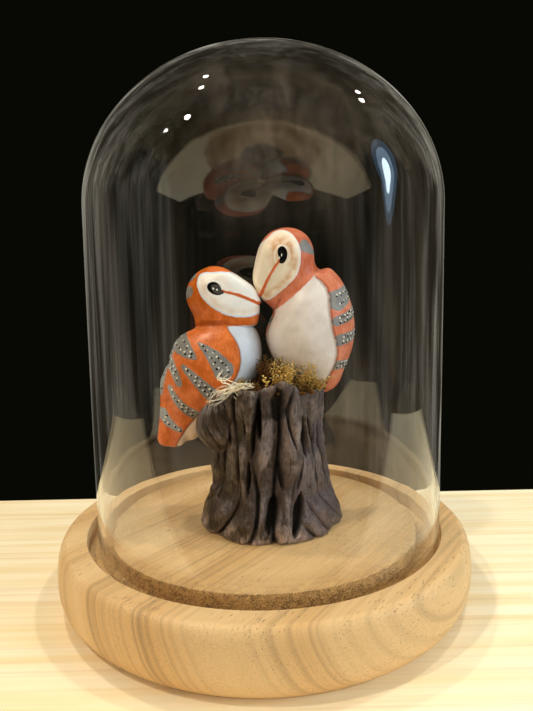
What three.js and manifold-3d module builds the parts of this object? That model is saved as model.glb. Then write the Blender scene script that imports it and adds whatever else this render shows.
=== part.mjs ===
// Two painted owls on a carved tree stump, on a turned wooden base under a lift-off glass dome.
// Millimetres, +Z up, -Y to the front, origin at the centre of the base's underside.
// Needs the npm packages three and manifold-3d.

import * as THREE from 'three';
import { mergeVertices } from 'three/addons/utils/BufferGeometryUtils.js';
import Module from 'manifold-3d';

const wasm = await Module();
wasm.setup();

// ---------------------------------------------------------------- driving dimensions

const GAP = 0.3; // clearance between pieces that touch

const BASE = {
  footRadius: 94.6, footRound: 1.5, // where the turned foot meets the table
  sideRadius: 100, sideHeight: 14, // the widest point of the rounded side
  rimRadius: 95.5, height: 29,
  grooveOuter: 86.6, grooveInner: 75.3, grooveDepth: 7, // the ring the dome stands in
  segments: 44, curveSteps: 3,
};

const DOME = {
  radius: 83.6, wall: 3,
  shoulderHeight: 180, crownRise: 72, // the straight wall ends at the shoulder
  shift: 2.3, // the dome stands a little to the right of centre in its groove
  segments: 40, crownSteps: 4,
};

const STUMP = {
  centre: { x: 3.5, y: -1 },
  floor: BASE.height, top: 97, hollow: 1.5, // the top is dished inside its rim
  waistRadius: 21.5, taper: 9.5, taperRate: 2, // the trunk widens downwards
  rootFlare: 3.5, rootHeight: 0.3, rimFlare: 3, rimStart: 0.7, rimWidth: 3.5,
  ridges: [ // lobes round the trunk: how many, how deep, where they start, how far they twist
    { count: 7, depth: 1.3, phase: 0.6, twist: 0.9 },
    { count: 11, depth: 0.8, phase: 2.1, twist: -0.7 },
  ],
  rises: [ // where the rim stands higher: all along the front, and one splinter there
    { angle: -1.5, height: 2.2, width: 0.8 },
    { angle: -1.33, height: 3.2, width: 0.16 },
  ],
  segments: 40, rings: 10,
};

const STUB = { at: [-20, -14, 79.5], radii: [11.5, 8.5, 12.5] }; // broken branch, on the left

const MOSS = { at: [4, -1.5, 97.5], radii: [24, 20, 10] };

// How finely an owl is skinned: rings from tail to crown, points round each, rings that close an end.
const SKIN = { rings: 31, sides: 22, fan: 5 };
const CORE = { rings: 18, sides: 12, fan: 3 }; // the hidden body under the wings

// Head, in its own frame: +X to the beak, +Z to the crown, origin at the middle of the skull.
const HEAD = {
  skull: { at: [-0.5, 0, -0.5], radii: [17.2, 14.6, 14.6] },
  jaw: { at: [8.3, 0, -8.5], radii: [9.8, 7.8, 9.2], blend: 6 },
  forehead: { tilt: 56.7, reach: 10.9, blend: 3 }, // flat slope from crown to beak
  cheek: { turn: 22, reach: 12.6, blend: 3 }, // flat sides that narrow to the beak
  bridge: { from: [1.8, 1.3], to: [18.6, -5], bow: 0.9, rise: 0.7, edge: 2 },
  collar: -15.4, // height of the crease between head and body
  ruff: { top: -5, edge: 1.6, blend: 3 }, // the cheeks run straight down to the collar
  roof: { slope: 0.4, blend: 2 }, // the body falls away from the collar all round
  neckBlend: 1.2,
};

const EYE = { at: [0.2, 2.1], depth: 1.6, proud: 0.55 }; // each owl gives its own outline

// Body, in its own frame: +X to the breast, +Z up, origin at the middle of the egg.
const LEANING_OWL = {
  body: { at: [-24.5, 3, 107], yaw: 0 },
  head: { at: [-18.9, 1, 142], yaw: -7, ruff: { centre: 1.8, half: [15.4, 12] } },
  eye: { half: [4.8, 3.1], tilt: 26 },
  egg: { at: [0, 0, -2], radii: [22, 20.3, 26.8], lean: 19 },
  breast: { at: [9.5, 0, 8], radii: [14.2, 16, 17], blend: 8 },
  tail: { at: [-19.3, 0, -22.9], half: [6.6, 9, 16.8], round: 3.4, lean: 7.5, blend: 9 },
  vent: { at: [-12.5, 0, -28], radii: [7.5, 8.5, 10.5], blend: 3 },
  neck: { from: [-20, 2, 122], to: [-19, 1, 138], radii: [10.5, 13], blend: 4 },
  wing: { shoulder: [-2.8, 4.5], shoulderRadius: 17.6, tip: [-24.5, -35.5], tipRadius: 3.5 },
  spine: [[-46.5, 3, 74], [-41, 3, 88], [-26, 3, 107], [-20, 2, 126], [-18.5, 1, 142]],
};

const UPRIGHT_OWL = {
  body: { at: [24.6, 4, 124], yaw: 240 },
  head: { at: [10.4, 2.5, 157.8], yaw: 188, pitch: 42, ruff: { centre: 4.4, half: [14.6, 11.8] } },
  eye: { half: [4.4, 2.7], tilt: 46 },
  egg: { at: [-3, 0, 4], radii: [19, 19.5, 28.6], lean: 0 },
  breast: { at: [1, 0, -1], radii: [20.8, 21.2, 25.5], blend: 5 },
  tail: { at: [-9.5, 0, -18], half: [6.5, 9, 12], round: 4, lean: 6, blend: 14 },
  vent: { at: [-4.5, 0, -20], radii: [9, 9, 9.5], blend: 8 },
  neck: { from: [20, 4, 139], to: [14.5, 3, 155], radii: [13.5, 12.5], blend: 4 },
  wing: { shoulder: [-8, 4], shoulderRadius: 19.5, tip: [-12, -24], tipRadius: 13 },
  spine: [[27, 8, 101], [26, 6, 110], [24.6, 4, 124], [19.5, 4, 143], [10.5, 2.5, 157]],
};

// The mantle joins the wings over the back; the wings stand proud of the body.
const MANTLE = { front: 8.3, above: 4.5, back: -8, backHeight: -20, slope: 0.55, blend: 3 };
const WING = { rise: 0.7, edge: 1.2, thickness: 3 };
const TAIL_TOP = -24; // the tail is parted from the body here, in the body's frame
const VENT_EDGE = [[-13.5, -24], [-18.3, -36.5], [-19.5, -46]];

const FAR = 60; // reach of a cutting block past the owls

// ---------------------------------------------------------------- materials

const paintedWood = (color, roughness = 0.45) =>
  new THREE.MeshStandardMaterial({ color, roughness, metalness: 0 });

const MATERIAL = {
  wood: paintedWood(0xd2a874, 0.6),
  glass: new THREE.MeshStandardMaterial({
    color: 0xf4f8f8, roughness: 0.05, metalness: 0, transparent: true, opacity: 0.2,
  }),
  stump: paintedWood(0x55463e, 0.55),
  orange: paintedWood(0xdc6b35),
  white: paintedWood(0xe8e2d8),
  eye: paintedWood(0x17181a, 0.2),
  moss: paintedWood(0x8a6a2c, 0.95),
};

// ---------------------------------------------------------------- solids and cuts

/** Turns a closed geometry into a solid that can be joined and cut. */
function solidOf(geometry) {
  const bare = geometry.clone();
  bare.deleteAttribute('normal');
  bare.deleteAttribute('uv');
  const merged = mergeVertices(bare, 1e-4);
  return new wasm.Manifold(new wasm.Mesh({
    numProp: 3,
    vertProperties: new Float32Array(merged.attributes.position.array),
    triVerts: new Uint32Array(merged.index.array),
  }));
}

/** Gives a solid back as a geometry. */
function geometryOf(solid) {
  const { vertProperties, triVerts } = solid.getMesh();
  const geometry = new THREE.BufferGeometry();
  geometry.setAttribute('position', new THREE.Float32BufferAttribute(vertProperties, 3));
  geometry.setIndex(new THREE.Uint32BufferAttribute(triVerts, 1));
  geometry.computeVertexNormals();
  return geometry;
}

/** A block over a side-view outline, reaching from one side of a body's frame to the other. */
function sideBlock(outline, frame, fromSide, toSide) {
  const geometry = new THREE.ExtrudeGeometry(outline, {
    depth: toSide - fromSide, bevelEnabled: false, curveSegments: 8,
  });
  geometry.rotateX(Math.PI / 2); // the outline's second axis becomes up, its depth runs to -Y
  geometry.translate(0, toSide, 0);
  geometry.applyMatrix4(frame.matrix);
  return solidOf(geometry);
}

/** A side-view outline through points, as a shape. */
const outlineOf = (points) => new THREE.Shape(points.map(([x, z]) => new THREE.Vector2(x, z)));

// ---------------------------------------------------------------- implicit forms
// Each gives the distance from a point to a surface, negative inside.

const radians = THREE.MathUtils.degToRad;
const Y_AXIS = new THREE.Vector3(0, 1, 0);

/** The nearer of two forms, with a smooth joint of the given width. */
function blend(a, b, width) {
  const overlap = Math.max(width - Math.abs(a - b), 0) / width;
  return Math.min(a, b) - (overlap * overlap * width) / 4;
}

/** What two forms share, with a rounded edge of the given width. */
const trim = (a, b, width) => -blend(-a, -b, width);

/** Falls from 1 to 0 as a distance goes from inside an edge to outside it. */
const insideEdge = (distance, edge) => 1 - THREE.MathUtils.smoothstep(distance, -edge, edge);

/** A point seen from a form's own centre, with the form's lean to the front taken out. */
const fromCentre = (point, at, lean = 0) =>
  point.clone().sub(new THREE.Vector3(...at)).applyAxisAngle(Y_AXIS, -radians(lean));

function ellipsoid(point, { at, radii, lean }) {
  const q = fromCentre(point, at, lean);
  const r = new THREE.Vector3(...radii);
  const scaled = q.clone().divide(r);
  const steep = scaled.clone().divide(r).length();
  return (scaled.length() * (scaled.length() - 1)) / Math.max(steep, 1e-6);
}

function roundedBox(point, { at, half, round, lean }) {
  const q = fromCentre(point, at, lean);
  const past = new THREE.Vector3(Math.abs(q.x), Math.abs(q.y), Math.abs(q.z))
    .sub(new THREE.Vector3(...half)).addScalar(round);
  const inside = Math.min(Math.max(past.x, past.y, past.z), 0);
  return past.max(new THREE.Vector3()).length() + inside - round;
}

function taperedRod(point, { from, to, radii }) {
  const start = new THREE.Vector3(...from);
  const run = new THREE.Vector3(...to).sub(start);
  const along = point.clone().sub(start);
  const t = THREE.MathUtils.clamp(along.dot(run) / run.lengthSq(), 0, 1);
  return along.addScaledVector(run, -t).length() - THREE.MathUtils.lerp(radii[0], radii[1], t);
}

/** A frame with +X to the front, turned by yaw about +Z after pitch tips its front down. */
class Frame {
  constructor({ at, yaw, pitch = 0 }) {
    this.matrix = new THREE.Matrix4()
      .makeRotationFromEuler(new THREE.Euler(0, radians(pitch), radians(yaw), 'ZYX'))
      .setPosition(...at);
    this.inverse = this.matrix.clone().invert();
  }

  local(point) {
    return point.clone().applyMatrix4(this.inverse);
  }
}

// ---------------------------------------------------------------- owls

/** Height of the painted line from eye to beak, which is the bridge's lower edge. */
function bridgeLine(x) {
  const { from, to, bow } = HEAD.bridge;
  const t = (x - from[0]) / (to[0] - from[0]);
  return from[1] + (to[1] - from[1]) * t + bow * 4 * t * (1 - t);
}

/** The ruff: an upright elliptic wall under the skull, with a rounded lower edge at the collar. */
function ruffForm(q, { centre, half }) {
  const { top, edge } = HEAD.ruff;
  const flat = new THREE.Vector3(q.x, q.y, 0);
  const wall = ellipsoid(flat, { at: [centre, 0, 0], radii: [...half, 1] });
  return trim(trim(wall, HEAD.collar - q.z, edge), q.z - top, edge);
}

/** Distance above the cone that the body keeps under, so that the collar overhangs it. */
function roofForm(q, { centre, half }) {
  const reach = Math.hypot(q.x - centre, q.y) - half[1];
  return q.z - HEAD.collar + HEAD.roof.slope * reach;
}

/** Distance to the head: skull, jaw and ruff in one, cut flat at forehead and cheeks. */
function headForm(q, ruff) {
  const { skull, jaw, forehead, cheek, bridge } = HEAD;
  const slope = q.x * Math.cos(radians(forehead.tilt)) + q.z * Math.sin(radians(forehead.tilt));
  const side = q.x * Math.sin(radians(cheek.turn)) + Math.abs(q.y) * Math.cos(radians(cheek.turn));
  let form = blend(ellipsoid(q, skull), ellipsoid(q, jaw), jaw.blend);
  form = blend(form, ruffForm(q, ruff), HEAD.ruff.blend);
  form = trim(form, slope - forehead.reach, forehead.blend);
  form = trim(form, side - cheek.reach, cheek.blend);
  const onFace = THREE.MathUtils.smoothstep(q.x, -4, 4);
  return form - bridge.rise * insideEdge(bridgeLine(q.x) - q.z, bridge.edge) * onFace;
}

/** Side-view distance to the wings and mantle: a round shoulder that tapers to the tail. */
function wingForm(q, wing) {
  const [x1, z1] = wing.shoulder;
  const [x2, z2] = wing.tip;
  const length = Math.hypot(x2 - x1, z2 - z1);
  const ux = (x2 - x1) / length;
  const uz = (z2 - z1) / length;
  const along = (q.x - x1) * ux + (q.z - z1) * uz;
  const across = Math.abs((q.z - z1) * ux - (q.x - x1) * uz);
  const sine = (wing.shoulderRadius - wing.tipRadius) / length;
  const cosine = Math.sqrt(1 - sine * sine);
  const place = along * cosine - across * sine;
  let leaf = along * sine + across * cosine - wing.shoulderRadius;
  if (place < 0) leaf = Math.hypot(along, across) - wing.shoulderRadius;
  if (place > length * cosine) leaf = Math.hypot(along - length, across) - wing.tipRadius;
  const { front, above, back, backHeight, slope, blend: width } = MANTLE;
  const upper = Math.max(q.x - front, above - q.z);
  const lower = Math.max(q.x - back - slope * (q.z - backHeight), q.z);
  return blend(blend(leaf, upper, width), lower, width);
}

function bodyForm(q, owl) {
  let form = ellipsoid(q, owl.egg);
  form = blend(form, ellipsoid(q, owl.breast), owl.breast.blend);
  form = blend(form, roundedBox(q, owl.tail), owl.tail.blend);
  form = blend(form, ellipsoid(q, owl.vent), owl.vent.blend);
  return form - WING.rise * insideEdge(wingForm(q, owl.wing), WING.edge);
}

/** The whole owl, head and body in one, as a function of a point. */
function owlForm(owl) {
  const body = new Frame(owl.body);
  const head = new Frame(owl.head);
  return (point) => {
    const seen = head.local(point);
    const under = trim(bodyForm(body.local(point), owl), roofForm(seen, owl.head.ruff), HEAD.roof.blend);
    const trunk = blend(under, taperedRod(point, owl.neck), owl.neck.blend);
    return blend(headForm(seen, owl.head.ruff), trunk, HEAD.neckBlend);
  };
}

/** Walks out from a point inside a form, by the form's own distance, until it meets the surface. */
function meetSurface(form, start, direction) {
  let reach = 0;
  for (let step = 0; step < 60; step += 1) {
    reach -= 0.7 * form(start.clone().addScaledVector(direction, reach));
  }
  return start.clone().addScaledVector(direction, reach);
}

/** Closes a grid of rings, of the same number of points each, between two end points. */
function closedSkin(first, rings, last) {
  const sides = rings[0].length;
  const points = [first, ...rings.flat(), last];
  const lastIndex = points.length - 1;
  const faces = [];
  for (let j = 0; j < sides; j += 1) {
    const k = (j + 1) % sides;
    faces.push(0, 1 + k, 1 + j);
    for (let i = 0; i + 1 < rings.length; i += 1) {
      const a = 1 + i * sides;
      const b = a + sides;
      faces.push(a + j, a + k, b + k, a + j, b + k, b + j);
    }
    const top = 1 + (rings.length - 1) * sides;
    faces.push(lastIndex, top + j, top + k);
  }
  const geometry = new THREE.BufferGeometry().setFromPoints(points);
  geometry.setIndex(faces);
  geometry.computeVertexNormals();
  return geometry;
}

/** Skins a form round a spine: rays leave the spine square to it, and fan out at its two ends. */
function skinAlong(form, spine, detail) {
  const path = new THREE.CatmullRomCurve3(spine.map((at) => new THREE.Vector3(...at)));
  const sideways = new THREE.Vector3(0, 1, 0);
  const rayFrom = (t, tip, turn) => {
    const tangent = path.getTangentAt(t);
    const side = sideways.clone().addScaledVector(tangent, -sideways.dot(tangent)).normalize();
    const front = side.clone().cross(tangent);
    const direction = front.multiplyScalar(Math.cos(turn)).addScaledVector(side, Math.sin(turn))
      .multiplyScalar(Math.cos(tip)).addScaledVector(tangent, Math.sin(tip));
    return meetSurface(form, path.getPointAt(t), direction);
  };
  const rings = [];
  for (let i = 1; i < detail.rings; i += 1) {
    const t = THREE.MathUtils.clamp((i - detail.fan) / (detail.rings - 2 * detail.fan), 0, 1);
    const low = Math.max(detail.fan - i, 0);
    const high = Math.max(i - detail.rings + detail.fan, 0);
    const tip = ((high - low) / detail.fan) * (Math.PI / 2);
    rings.push(Array.from({ length: detail.sides }, (_, j) =>
      rayFrom(t, tip, (j / detail.sides) * Math.PI * 2)));
  }
  return closedSkin(rayFrom(0, -Math.PI / 2, 0), rings, rayFrom(1, Math.PI / 2, 0));
}

/** An owl's solid, larger or smaller all over by an offset. */
function owlSolid(owl, offset = 0, detail = SKIN) {
  const form = owlForm(owl);
  return solidOf(skinAlong((point) => form(point) - offset, owl.spine, detail));
}

/** A slightly domed eye on one cheek (side is +1 or -1), larger all over by an offset. */
function eyeSolid(owl, side, offset = 0) {
  const head = new Frame(owl.head);
  const seat = meetSurface((point) => headForm(point, owl.head.ruff),
    new THREE.Vector3(EYE.at[0], 0, EYE.at[1]), new THREE.Vector3(0, side, 0));
  const lens = new THREE.SphereGeometry(1, 12, 6);
  lens.scale(owl.eye.half[0] + offset, EYE.depth + offset, owl.eye.half[1] + offset);
  lens.rotateY(radians(owl.eye.tilt));
  lens.rotateZ(-side * radians(HEAD.cheek.turn));
  lens.translate(seat.x, seat.y - side * (EYE.depth - EYE.proud), seat.z);
  lens.applyMatrix4(head.matrix);
  return solidOf(lens);
}

/** The region above (or below) the crease between head and body. */
function collarBlock(owl, from, to) {
  const outline = outlineOf([[-FAR, from], [FAR, from], [FAR, to], [-FAR, to]]);
  return sideBlock(outline, new Frame(owl.head), -FAR, FAR);
}

/** Side-view outline of all that lies behind a wing's front and lower edges. */
function wingOutline({ shoulder, shoulderRadius, tip, tipRadius }, grow) {
  const [x1, z1] = shoulder;
  const radius = shoulderRadius + grow;
  const run = Math.atan2(tip[1] - z1, tip[0] - x1);
  const lean = Math.asin((shoulderRadius - tipRadius) / Math.hypot(tip[0] - x1, tip[1] - z1));
  const lowerEdge = run + Math.PI / 2 - lean; // where the arc runs into the straight lower edge
  const front = MANTLE.front + grow;
  const outline = new THREE.Shape();
  outline.moveTo(-FAR, FAR);
  outline.lineTo(-FAR, TAIL_TOP + (grow > 0 ? -FAR : GAP / 2));
  outline.lineTo(tip[0] + tipRadius * Math.cos(lowerEdge), tip[1] + tipRadius * Math.sin(lowerEdge));
  outline.absarc(x1, z1, radius, lowerEdge, Math.acos((front - x1) / radius), false);
  outline.lineTo(front, FAR);
  return outline;
}

/** Parts the leaning owl, modelled whole, into its named pieces with thin cuts. */
function partLeaningOwl(whole) {
  const owl = LEANING_OWL;
  const frame = new Frame(owl.body);
  const cut = GAP / 2;
  const eyeSides = { left: 1, right: -1 };

  let head = whole.intersect(collarBlock(owl, HEAD.collar + cut, FAR));
  for (const side of Object.values(eyeSides)) head = head.subtract(eyeSolid(owl, side, GAP));
  const body = whole.intersect(collarBlock(owl, -2 * FAR, HEAD.collar - cut));

  const tailOutline = (grow) => outlineOf([
    [-FAR, TAIL_TOP + grow],
    ...VENT_EDGE.map(([x, z]) => [x + grow, z + grow]),
    [-FAR, VENT_EDGE.at(-1)[1]],
  ]);
  const tail = body.intersect(sideBlock(tailOutline(-cut), frame, -FAR, FAR));
  const bodyNoTail = body.subtract(sideBlock(tailOutline(cut), frame, -FAR, FAR));

  const wingShell = (fromSide, toSide) => bodyNoTail
    .intersect(sideBlock(wingOutline(owl.wing, 0), frame, fromSide, toSide))
    .subtract(owlSolid(owl, -WING.thickness, CORE));
  const bed = sideBlock(wingOutline(owl.wing, GAP), frame, -FAR, FAR)
    .subtract(owlSolid(owl, -WING.thickness - GAP, CORE));

  return {
    leaning_owl_head: [head, MATERIAL.orange],
    leaning_owl_trunk: [bodyNoTail.subtract(bed), MATERIAL.white],
    leaning_owl_left_wing: [wingShell(cut, FAR), MATERIAL.orange],
    leaning_owl_right_wing: [wingShell(-FAR, -cut), MATERIAL.orange],
    leaning_owl_tail: [tail, MATERIAL.orange],
    leaning_owl_left_eye: [eyeSolid(owl, eyeSides.left), MATERIAL.eye],
    leaning_owl_right_eye: [eyeSolid(owl, eyeSides.right), MATERIAL.eye],
  };
}

// ---------------------------------------------------------------- stump and moss

/** The stump's outline radius at an angle and at a height from 0 at the floor to 1 at the rim. */
function stumpRadius(angle, height) {
  const roots = 1 - THREE.MathUtils.smoothstep(height, 0.08, STUMP.rootHeight);
  const lip = THREE.MathUtils.smoothstep(height, STUMP.rimStart, 1);
  let radius = STUMP.waistRadius + STUMP.taper * Math.exp(-STUMP.taperRate * height);
  radius += STUMP.rootFlare * roots + STUMP.rimFlare * lip;
  for (const { count, depth, phase, twist } of STUMP.ridges) {
    radius += depth * (1 - 0.5 * roots) * Math.cos(count * angle + phase + twist * height * 2);
  }
  return radius;
}

/** Height of the rim, which is higher along the front and rises to one splinter. */
function rimHeight(angle) {
  return STUMP.rises.reduce((top, { angle: at, height, width }) => {
    const away = Math.atan2(Math.sin(angle - at), Math.cos(angle - at)) / width;
    return top + height * Math.exp(-away * away);
  }, STUMP.top);
}

function stumpSolid(grow = 0) {
  const { centre, floor, hollow, rimWidth, segments, rings } = STUMP;
  const ringAt = (radiusAt, heightAt) => Array.from({ length: segments }, (_, j) => {
    const angle = (j / segments) * Math.PI * 2;
    const radius = radiusAt(angle);
    return new THREE.Vector3(centre.x + radius * Math.cos(angle),
      centre.y + radius * Math.sin(angle), heightAt(angle));
  });
  const wall = Array.from({ length: rings }, (_, i) => {
    const height = i / (rings - 1);
    return ringAt((angle) => stumpRadius(angle, height) + grow,
      (angle) => floor - grow + height * (rimHeight(angle) + 2 * grow - floor));
  });
  const lip = ringAt((angle) => stumpRadius(angle, 1) - rimWidth - grow,
    () => STUMP.top - hollow + grow);
  const middle = (z) => new THREE.Vector3(centre.x, centre.y, z);
  return solidOf(closedSkin(middle(floor - grow), [...wall, lip], middle(STUMP.top - hollow + grow)));
}

/** An egg with its own middle and radii, larger all over by an offset. */
function eggSolid({ at, radii }, offset = 0) {
  const egg = new THREE.SphereGeometry(1, 16, 10);
  egg.rotateX(Math.PI / 2);
  egg.scale(...radii.map((radius) => radius + offset));
  egg.translate(...at);
  return solidOf(egg);
}

// ---------------------------------------------------------------- base and dome

function turned(profile, segments) {
  const geometry = new THREE.LatheGeometry(profile, segments);
  geometry.rotateX(Math.PI / 2);
  return solidOf(geometry);
}

function baseSolid() {
  const { footRadius, footRound, sideRadius, sideHeight, rimRadius, height } = BASE;
  const grooveFloor = height - BASE.grooveDepth;
  const profile = new THREE.Path();
  profile.moveTo(0, 0);
  profile.lineTo(footRadius - footRound, 0);
  profile.lineTo(footRadius, footRound);
  profile.quadraticCurveTo(sideRadius, footRound + 4, sideRadius, sideHeight);
  profile.quadraticCurveTo(sideRadius, height - 1, rimRadius, height);
  profile.lineTo(BASE.grooveOuter, height);
  profile.lineTo(BASE.grooveOuter, grooveFloor);
  profile.lineTo(BASE.grooveInner, grooveFloor);
  profile.lineTo(BASE.grooveInner, height);
  profile.lineTo(0, height);
  return turned(profile.getPoints(BASE.curveSteps), BASE.segments);
}

function domeSolid() {
  const { radius, wall, shoulderHeight, crownRise, crownSteps } = DOME;
  const foot = BASE.height - BASE.grooveDepth + GAP;
  const quarter = Math.PI / 2;
  const profile = new THREE.Path();
  profile.moveTo(radius - wall, foot);
  profile.lineTo(radius, foot);
  profile.absellipse(0, shoulderHeight, radius, crownRise, 0, quarter, false, 0);
  const inside = new THREE.Path();
  inside.absellipse(0, shoulderHeight, radius - wall, crownRise - wall, quarter, 0, true, 0);
  inside.lineTo(radius - wall, foot);
  const points = [...inside.getPoints(crownSteps), ...profile.getPoints(crownSteps).slice(1)];
  for (const point of points) if (point.x < 1e-6) point.x = 0;
  return turned(points, DOME.segments).translate([DOME.shift, 0, 0]);
}

// ---------------------------------------------------------------- assembly

const group = new THREE.Group();

function add(name, solid, material) {
  const mesh = new THREE.Mesh(geometryOf(solid), material);
  mesh.name = name;
  group.add(mesh);
}

const stumpClear = stumpSolid(GAP);
const leaningOwl = owlSolid(LEANING_OWL).subtract(stumpClear);
const uprightOwl = owlSolid(UPRIGHT_OWL)
  .add(eyeSolid(UPRIGHT_OWL, 1)).add(eyeSolid(UPRIGHT_OWL, -1)).subtract(stumpClear);
const owlsClear = owlSolid(LEANING_OWL, GAP).add(owlSolid(UPRIGHT_OWL, GAP));
const stub = eggSolid(STUB).subtract(stumpClear).subtract(owlsClear);
const moss = eggSolid(MOSS).subtract(stumpClear).subtract(owlsClear).subtract(eggSolid(STUB, GAP));

add('base', baseSolid(), MATERIAL.wood);
add('glass_dome', domeSolid(), MATERIAL.glass);
add('stump', stumpSolid(), MATERIAL.stump);
add('stump_branch_stub', stub, MATERIAL.stump);
add('moss', moss, MATERIAL.moss);
for (const [name, [solid, material]] of Object.entries(partLeaningOwl(leaningOwl))) {
  add(name, solid, material);
}
add('upright_owl', uprightOwl, MATERIAL.orange);

export default group;
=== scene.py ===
"""Two painted owl figurines on a carved tree stump, under a glass dome on a turned wooden base.

Forms are worked out in millimetres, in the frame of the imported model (+Z up, -Y to the front), and
every mesh is written in metres. Distances to a form are negative inside it.
"""

from __future__ import annotations

import logging
import math
from dataclasses import dataclass, field
from enum import Enum
from functools import reduce

import bpy
import numpy as np
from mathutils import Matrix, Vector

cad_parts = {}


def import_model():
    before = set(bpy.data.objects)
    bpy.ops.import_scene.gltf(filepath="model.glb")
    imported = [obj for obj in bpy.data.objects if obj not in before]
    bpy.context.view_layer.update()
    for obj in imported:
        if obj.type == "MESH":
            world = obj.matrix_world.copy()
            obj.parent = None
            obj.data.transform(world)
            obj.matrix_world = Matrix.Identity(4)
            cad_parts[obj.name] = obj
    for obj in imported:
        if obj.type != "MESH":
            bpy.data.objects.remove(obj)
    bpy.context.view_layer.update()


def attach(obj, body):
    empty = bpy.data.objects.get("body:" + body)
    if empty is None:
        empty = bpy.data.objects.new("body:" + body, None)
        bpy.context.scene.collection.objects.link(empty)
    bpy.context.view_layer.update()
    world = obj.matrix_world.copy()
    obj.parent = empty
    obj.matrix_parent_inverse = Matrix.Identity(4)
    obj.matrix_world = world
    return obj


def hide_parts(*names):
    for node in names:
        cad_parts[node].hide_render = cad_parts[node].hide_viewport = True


log = logging.getLogger("owl_dome")

Array = np.ndarray
Rng = np.random.Generator
Pair = tuple[float, float]
Vec = tuple[float, float, float]
Colour = tuple[float, float, float, float]
Piece = bpy.types.Object
Material = bpy.types.Material
Socket = bpy.types.NodeSocket
Inputs = dict[str | int, object]  # what goes into a node's sockets: other sockets, or plain values

MM = 0.001  # metres in a millimetre
TURN = 2 * math.pi
GOLDEN_TURN = 2.39996  # radians between leaves that never line up
WALK_SHARE = 0.7  # of a distance: short steps, as some forms overstate theirs


class Body(str, Enum):
    """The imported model's moving bodies."""

    BASE = "base"
    DOME = "dome"


class Slot(str, Enum):
    """The record's material slots."""

    WOOD = "base_wood"
    GLASS = "dome_glass"
    STUMP = "stump_finish"
    OWL = "owl_paint"
    BREAST = "breast_paint"
    EYE = "eye_paint"
    MOSS = "dried_moss"


# ---- arithmetic


def blend(a: Array, b: Array, width: float) -> Array:
    """The nearer of two forms, less width / 4 times their squared overlap, so that the joint is smooth."""
    overlap = np.maximum(width - np.abs(a - b), 0.0) / width
    return np.minimum(a, b) - overlap**2 * width / 4


def trim(a: Array, b: Array, width: float) -> Array:
    """What two forms share, with an edge rounded over width."""
    return -blend(-a, -b, width)


def smoothstep(low: float, high: float, value: Array) -> Array:
    """Rises from 0 at low to 1 at high as 3t^2 - 2t^3."""
    t = np.clip((value - low) / (high - low), 0.0, 1.0)
    return t * t * (3 - 2 * t)


def bell(value: Array, width: float | Array) -> Array:
    """exp(-(value / width)^2)."""
    return np.exp(-((value / width) ** 2))


def unit(vectors: Array) -> Array:
    """Each vector divided by its own length."""
    return vectors / np.maximum(np.linalg.norm(vectors, axis=-1, keepdims=True), 1e-9)


def turns(count: int) -> Array:
    """The angles of so many even steps round a circle."""
    return np.arange(count) / count * TURN


def circle(angle: Array) -> Array:
    """Each angle's cosine and sine."""
    return np.stack([np.cos(angle), np.sin(angle)], -1)


def rings_about(first: Array, second: Array, sides: int) -> Array:
    """Even steps round the circle that two square directions span: first cos(a) + second sin(a)."""
    turn = circle(turns(sides))
    return first[..., None, :] * turn[:, :1] + second[..., None, :] * turn[:, 1:]


def ball(around: int, up: int) -> tuple[Array, Array, Array]:
    """Angles round and up a ball, and its points, on a grid that leaves out the poles.

    Args:
        around: points in each ring.
        up: how many rings.

    Returns:
        The angle round, the angle up and the unit vector of each point.
    """
    turn, rise = np.meshgrid(turns(around), np.linspace(-math.pi / 2, math.pi / 2, up + 2)[1:-1])
    flat = circle(turn) * np.cos(rise)[..., None]
    return turn, rise, np.concatenate([flat, np.sin(rise)[..., None]], -1)


def wrapped(angle: Array) -> Array:
    """Angles carried to within half a turn of 0."""
    return np.arctan2(np.sin(angle), np.cos(angle))


def rotated(x: Array, z: Array, degrees: float) -> tuple[Array, Array]:
    """x cos(a) - z sin(a) and x sin(a) + z cos(a)."""
    cosine, sine = math.cos(math.radians(degrees)), math.sin(math.radians(degrees))
    return x * cosine - z * sine, x * sine + z * cosine


def along_line(x: Array, z: Array, start: Pair, end: Pair) -> tuple[Array, Array, float]:
    """How far points are along and across the line from start to end in side view, and its length.

    Args:
        x: the points' places to the front.
        z: their heights.
        start: where the line starts.
        end: where it ends.

    Returns:
        The places along it, those across it, and its length.
    """
    run = np.array(end) - np.array(start)
    length = float(np.hypot(*run))
    ux, uz = run / length
    x, z = x - start[0], z - start[1]
    return x * ux + z * uz, z * ux - x * uz, length


def srgb(red: int, green: int, blue: int) -> Colour:
    """A display colour from 0 to 255 as linear RGBA: ((c + 0.055) / 1.055)^2.4, or c / 12.92 when dark.

    Args:
        red: the red part.
        green: the green part.
        blue: the blue part.

    Returns:
        The colour, with an alpha of 1.
    """
    parts = (c / 255 for c in (red, green, blue))
    linear = [c / 12.92 if c <= 0.04045 else ((c + 0.055) / 1.055) ** 2.4 for c in parts]
    return (linear[0], linear[1], linear[2], 1.0)


def smooth_noise(u: Array, v: Array, cells: tuple[int, int], rng: Rng) -> Array:
    """Value noise from -1 to 1: random corners of a grid of cells, blended by 3t^2 - 2t^3 each way.

    Args:
        u: places round the grid, where 0 and 1 meet.
        v: places across it, from 0 to 1.
        cells: how many cells each way.
        rng: where the corners' values come from.

    Returns:
        One value for each place.
    """
    across, up = cells
    corners = rng.uniform(-1, 1, (across, up + 2))
    x = (u % 1.0) * across
    y = np.clip(v, 0.0, 1.0) * up
    i, j = np.floor(x).astype(int), np.floor(y).astype(int)
    s, t = smoothstep(0, 1, x - i), smoothstep(0, 1, y - j)
    near, far = i % across, (i + 1) % across
    low = corners[near, j] * (1 - s) + corners[far, j] * s
    high = corners[near, j + 1] * (1 - s) + corners[far, j + 1] * s
    return low * (1 - t) + high * t


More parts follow.
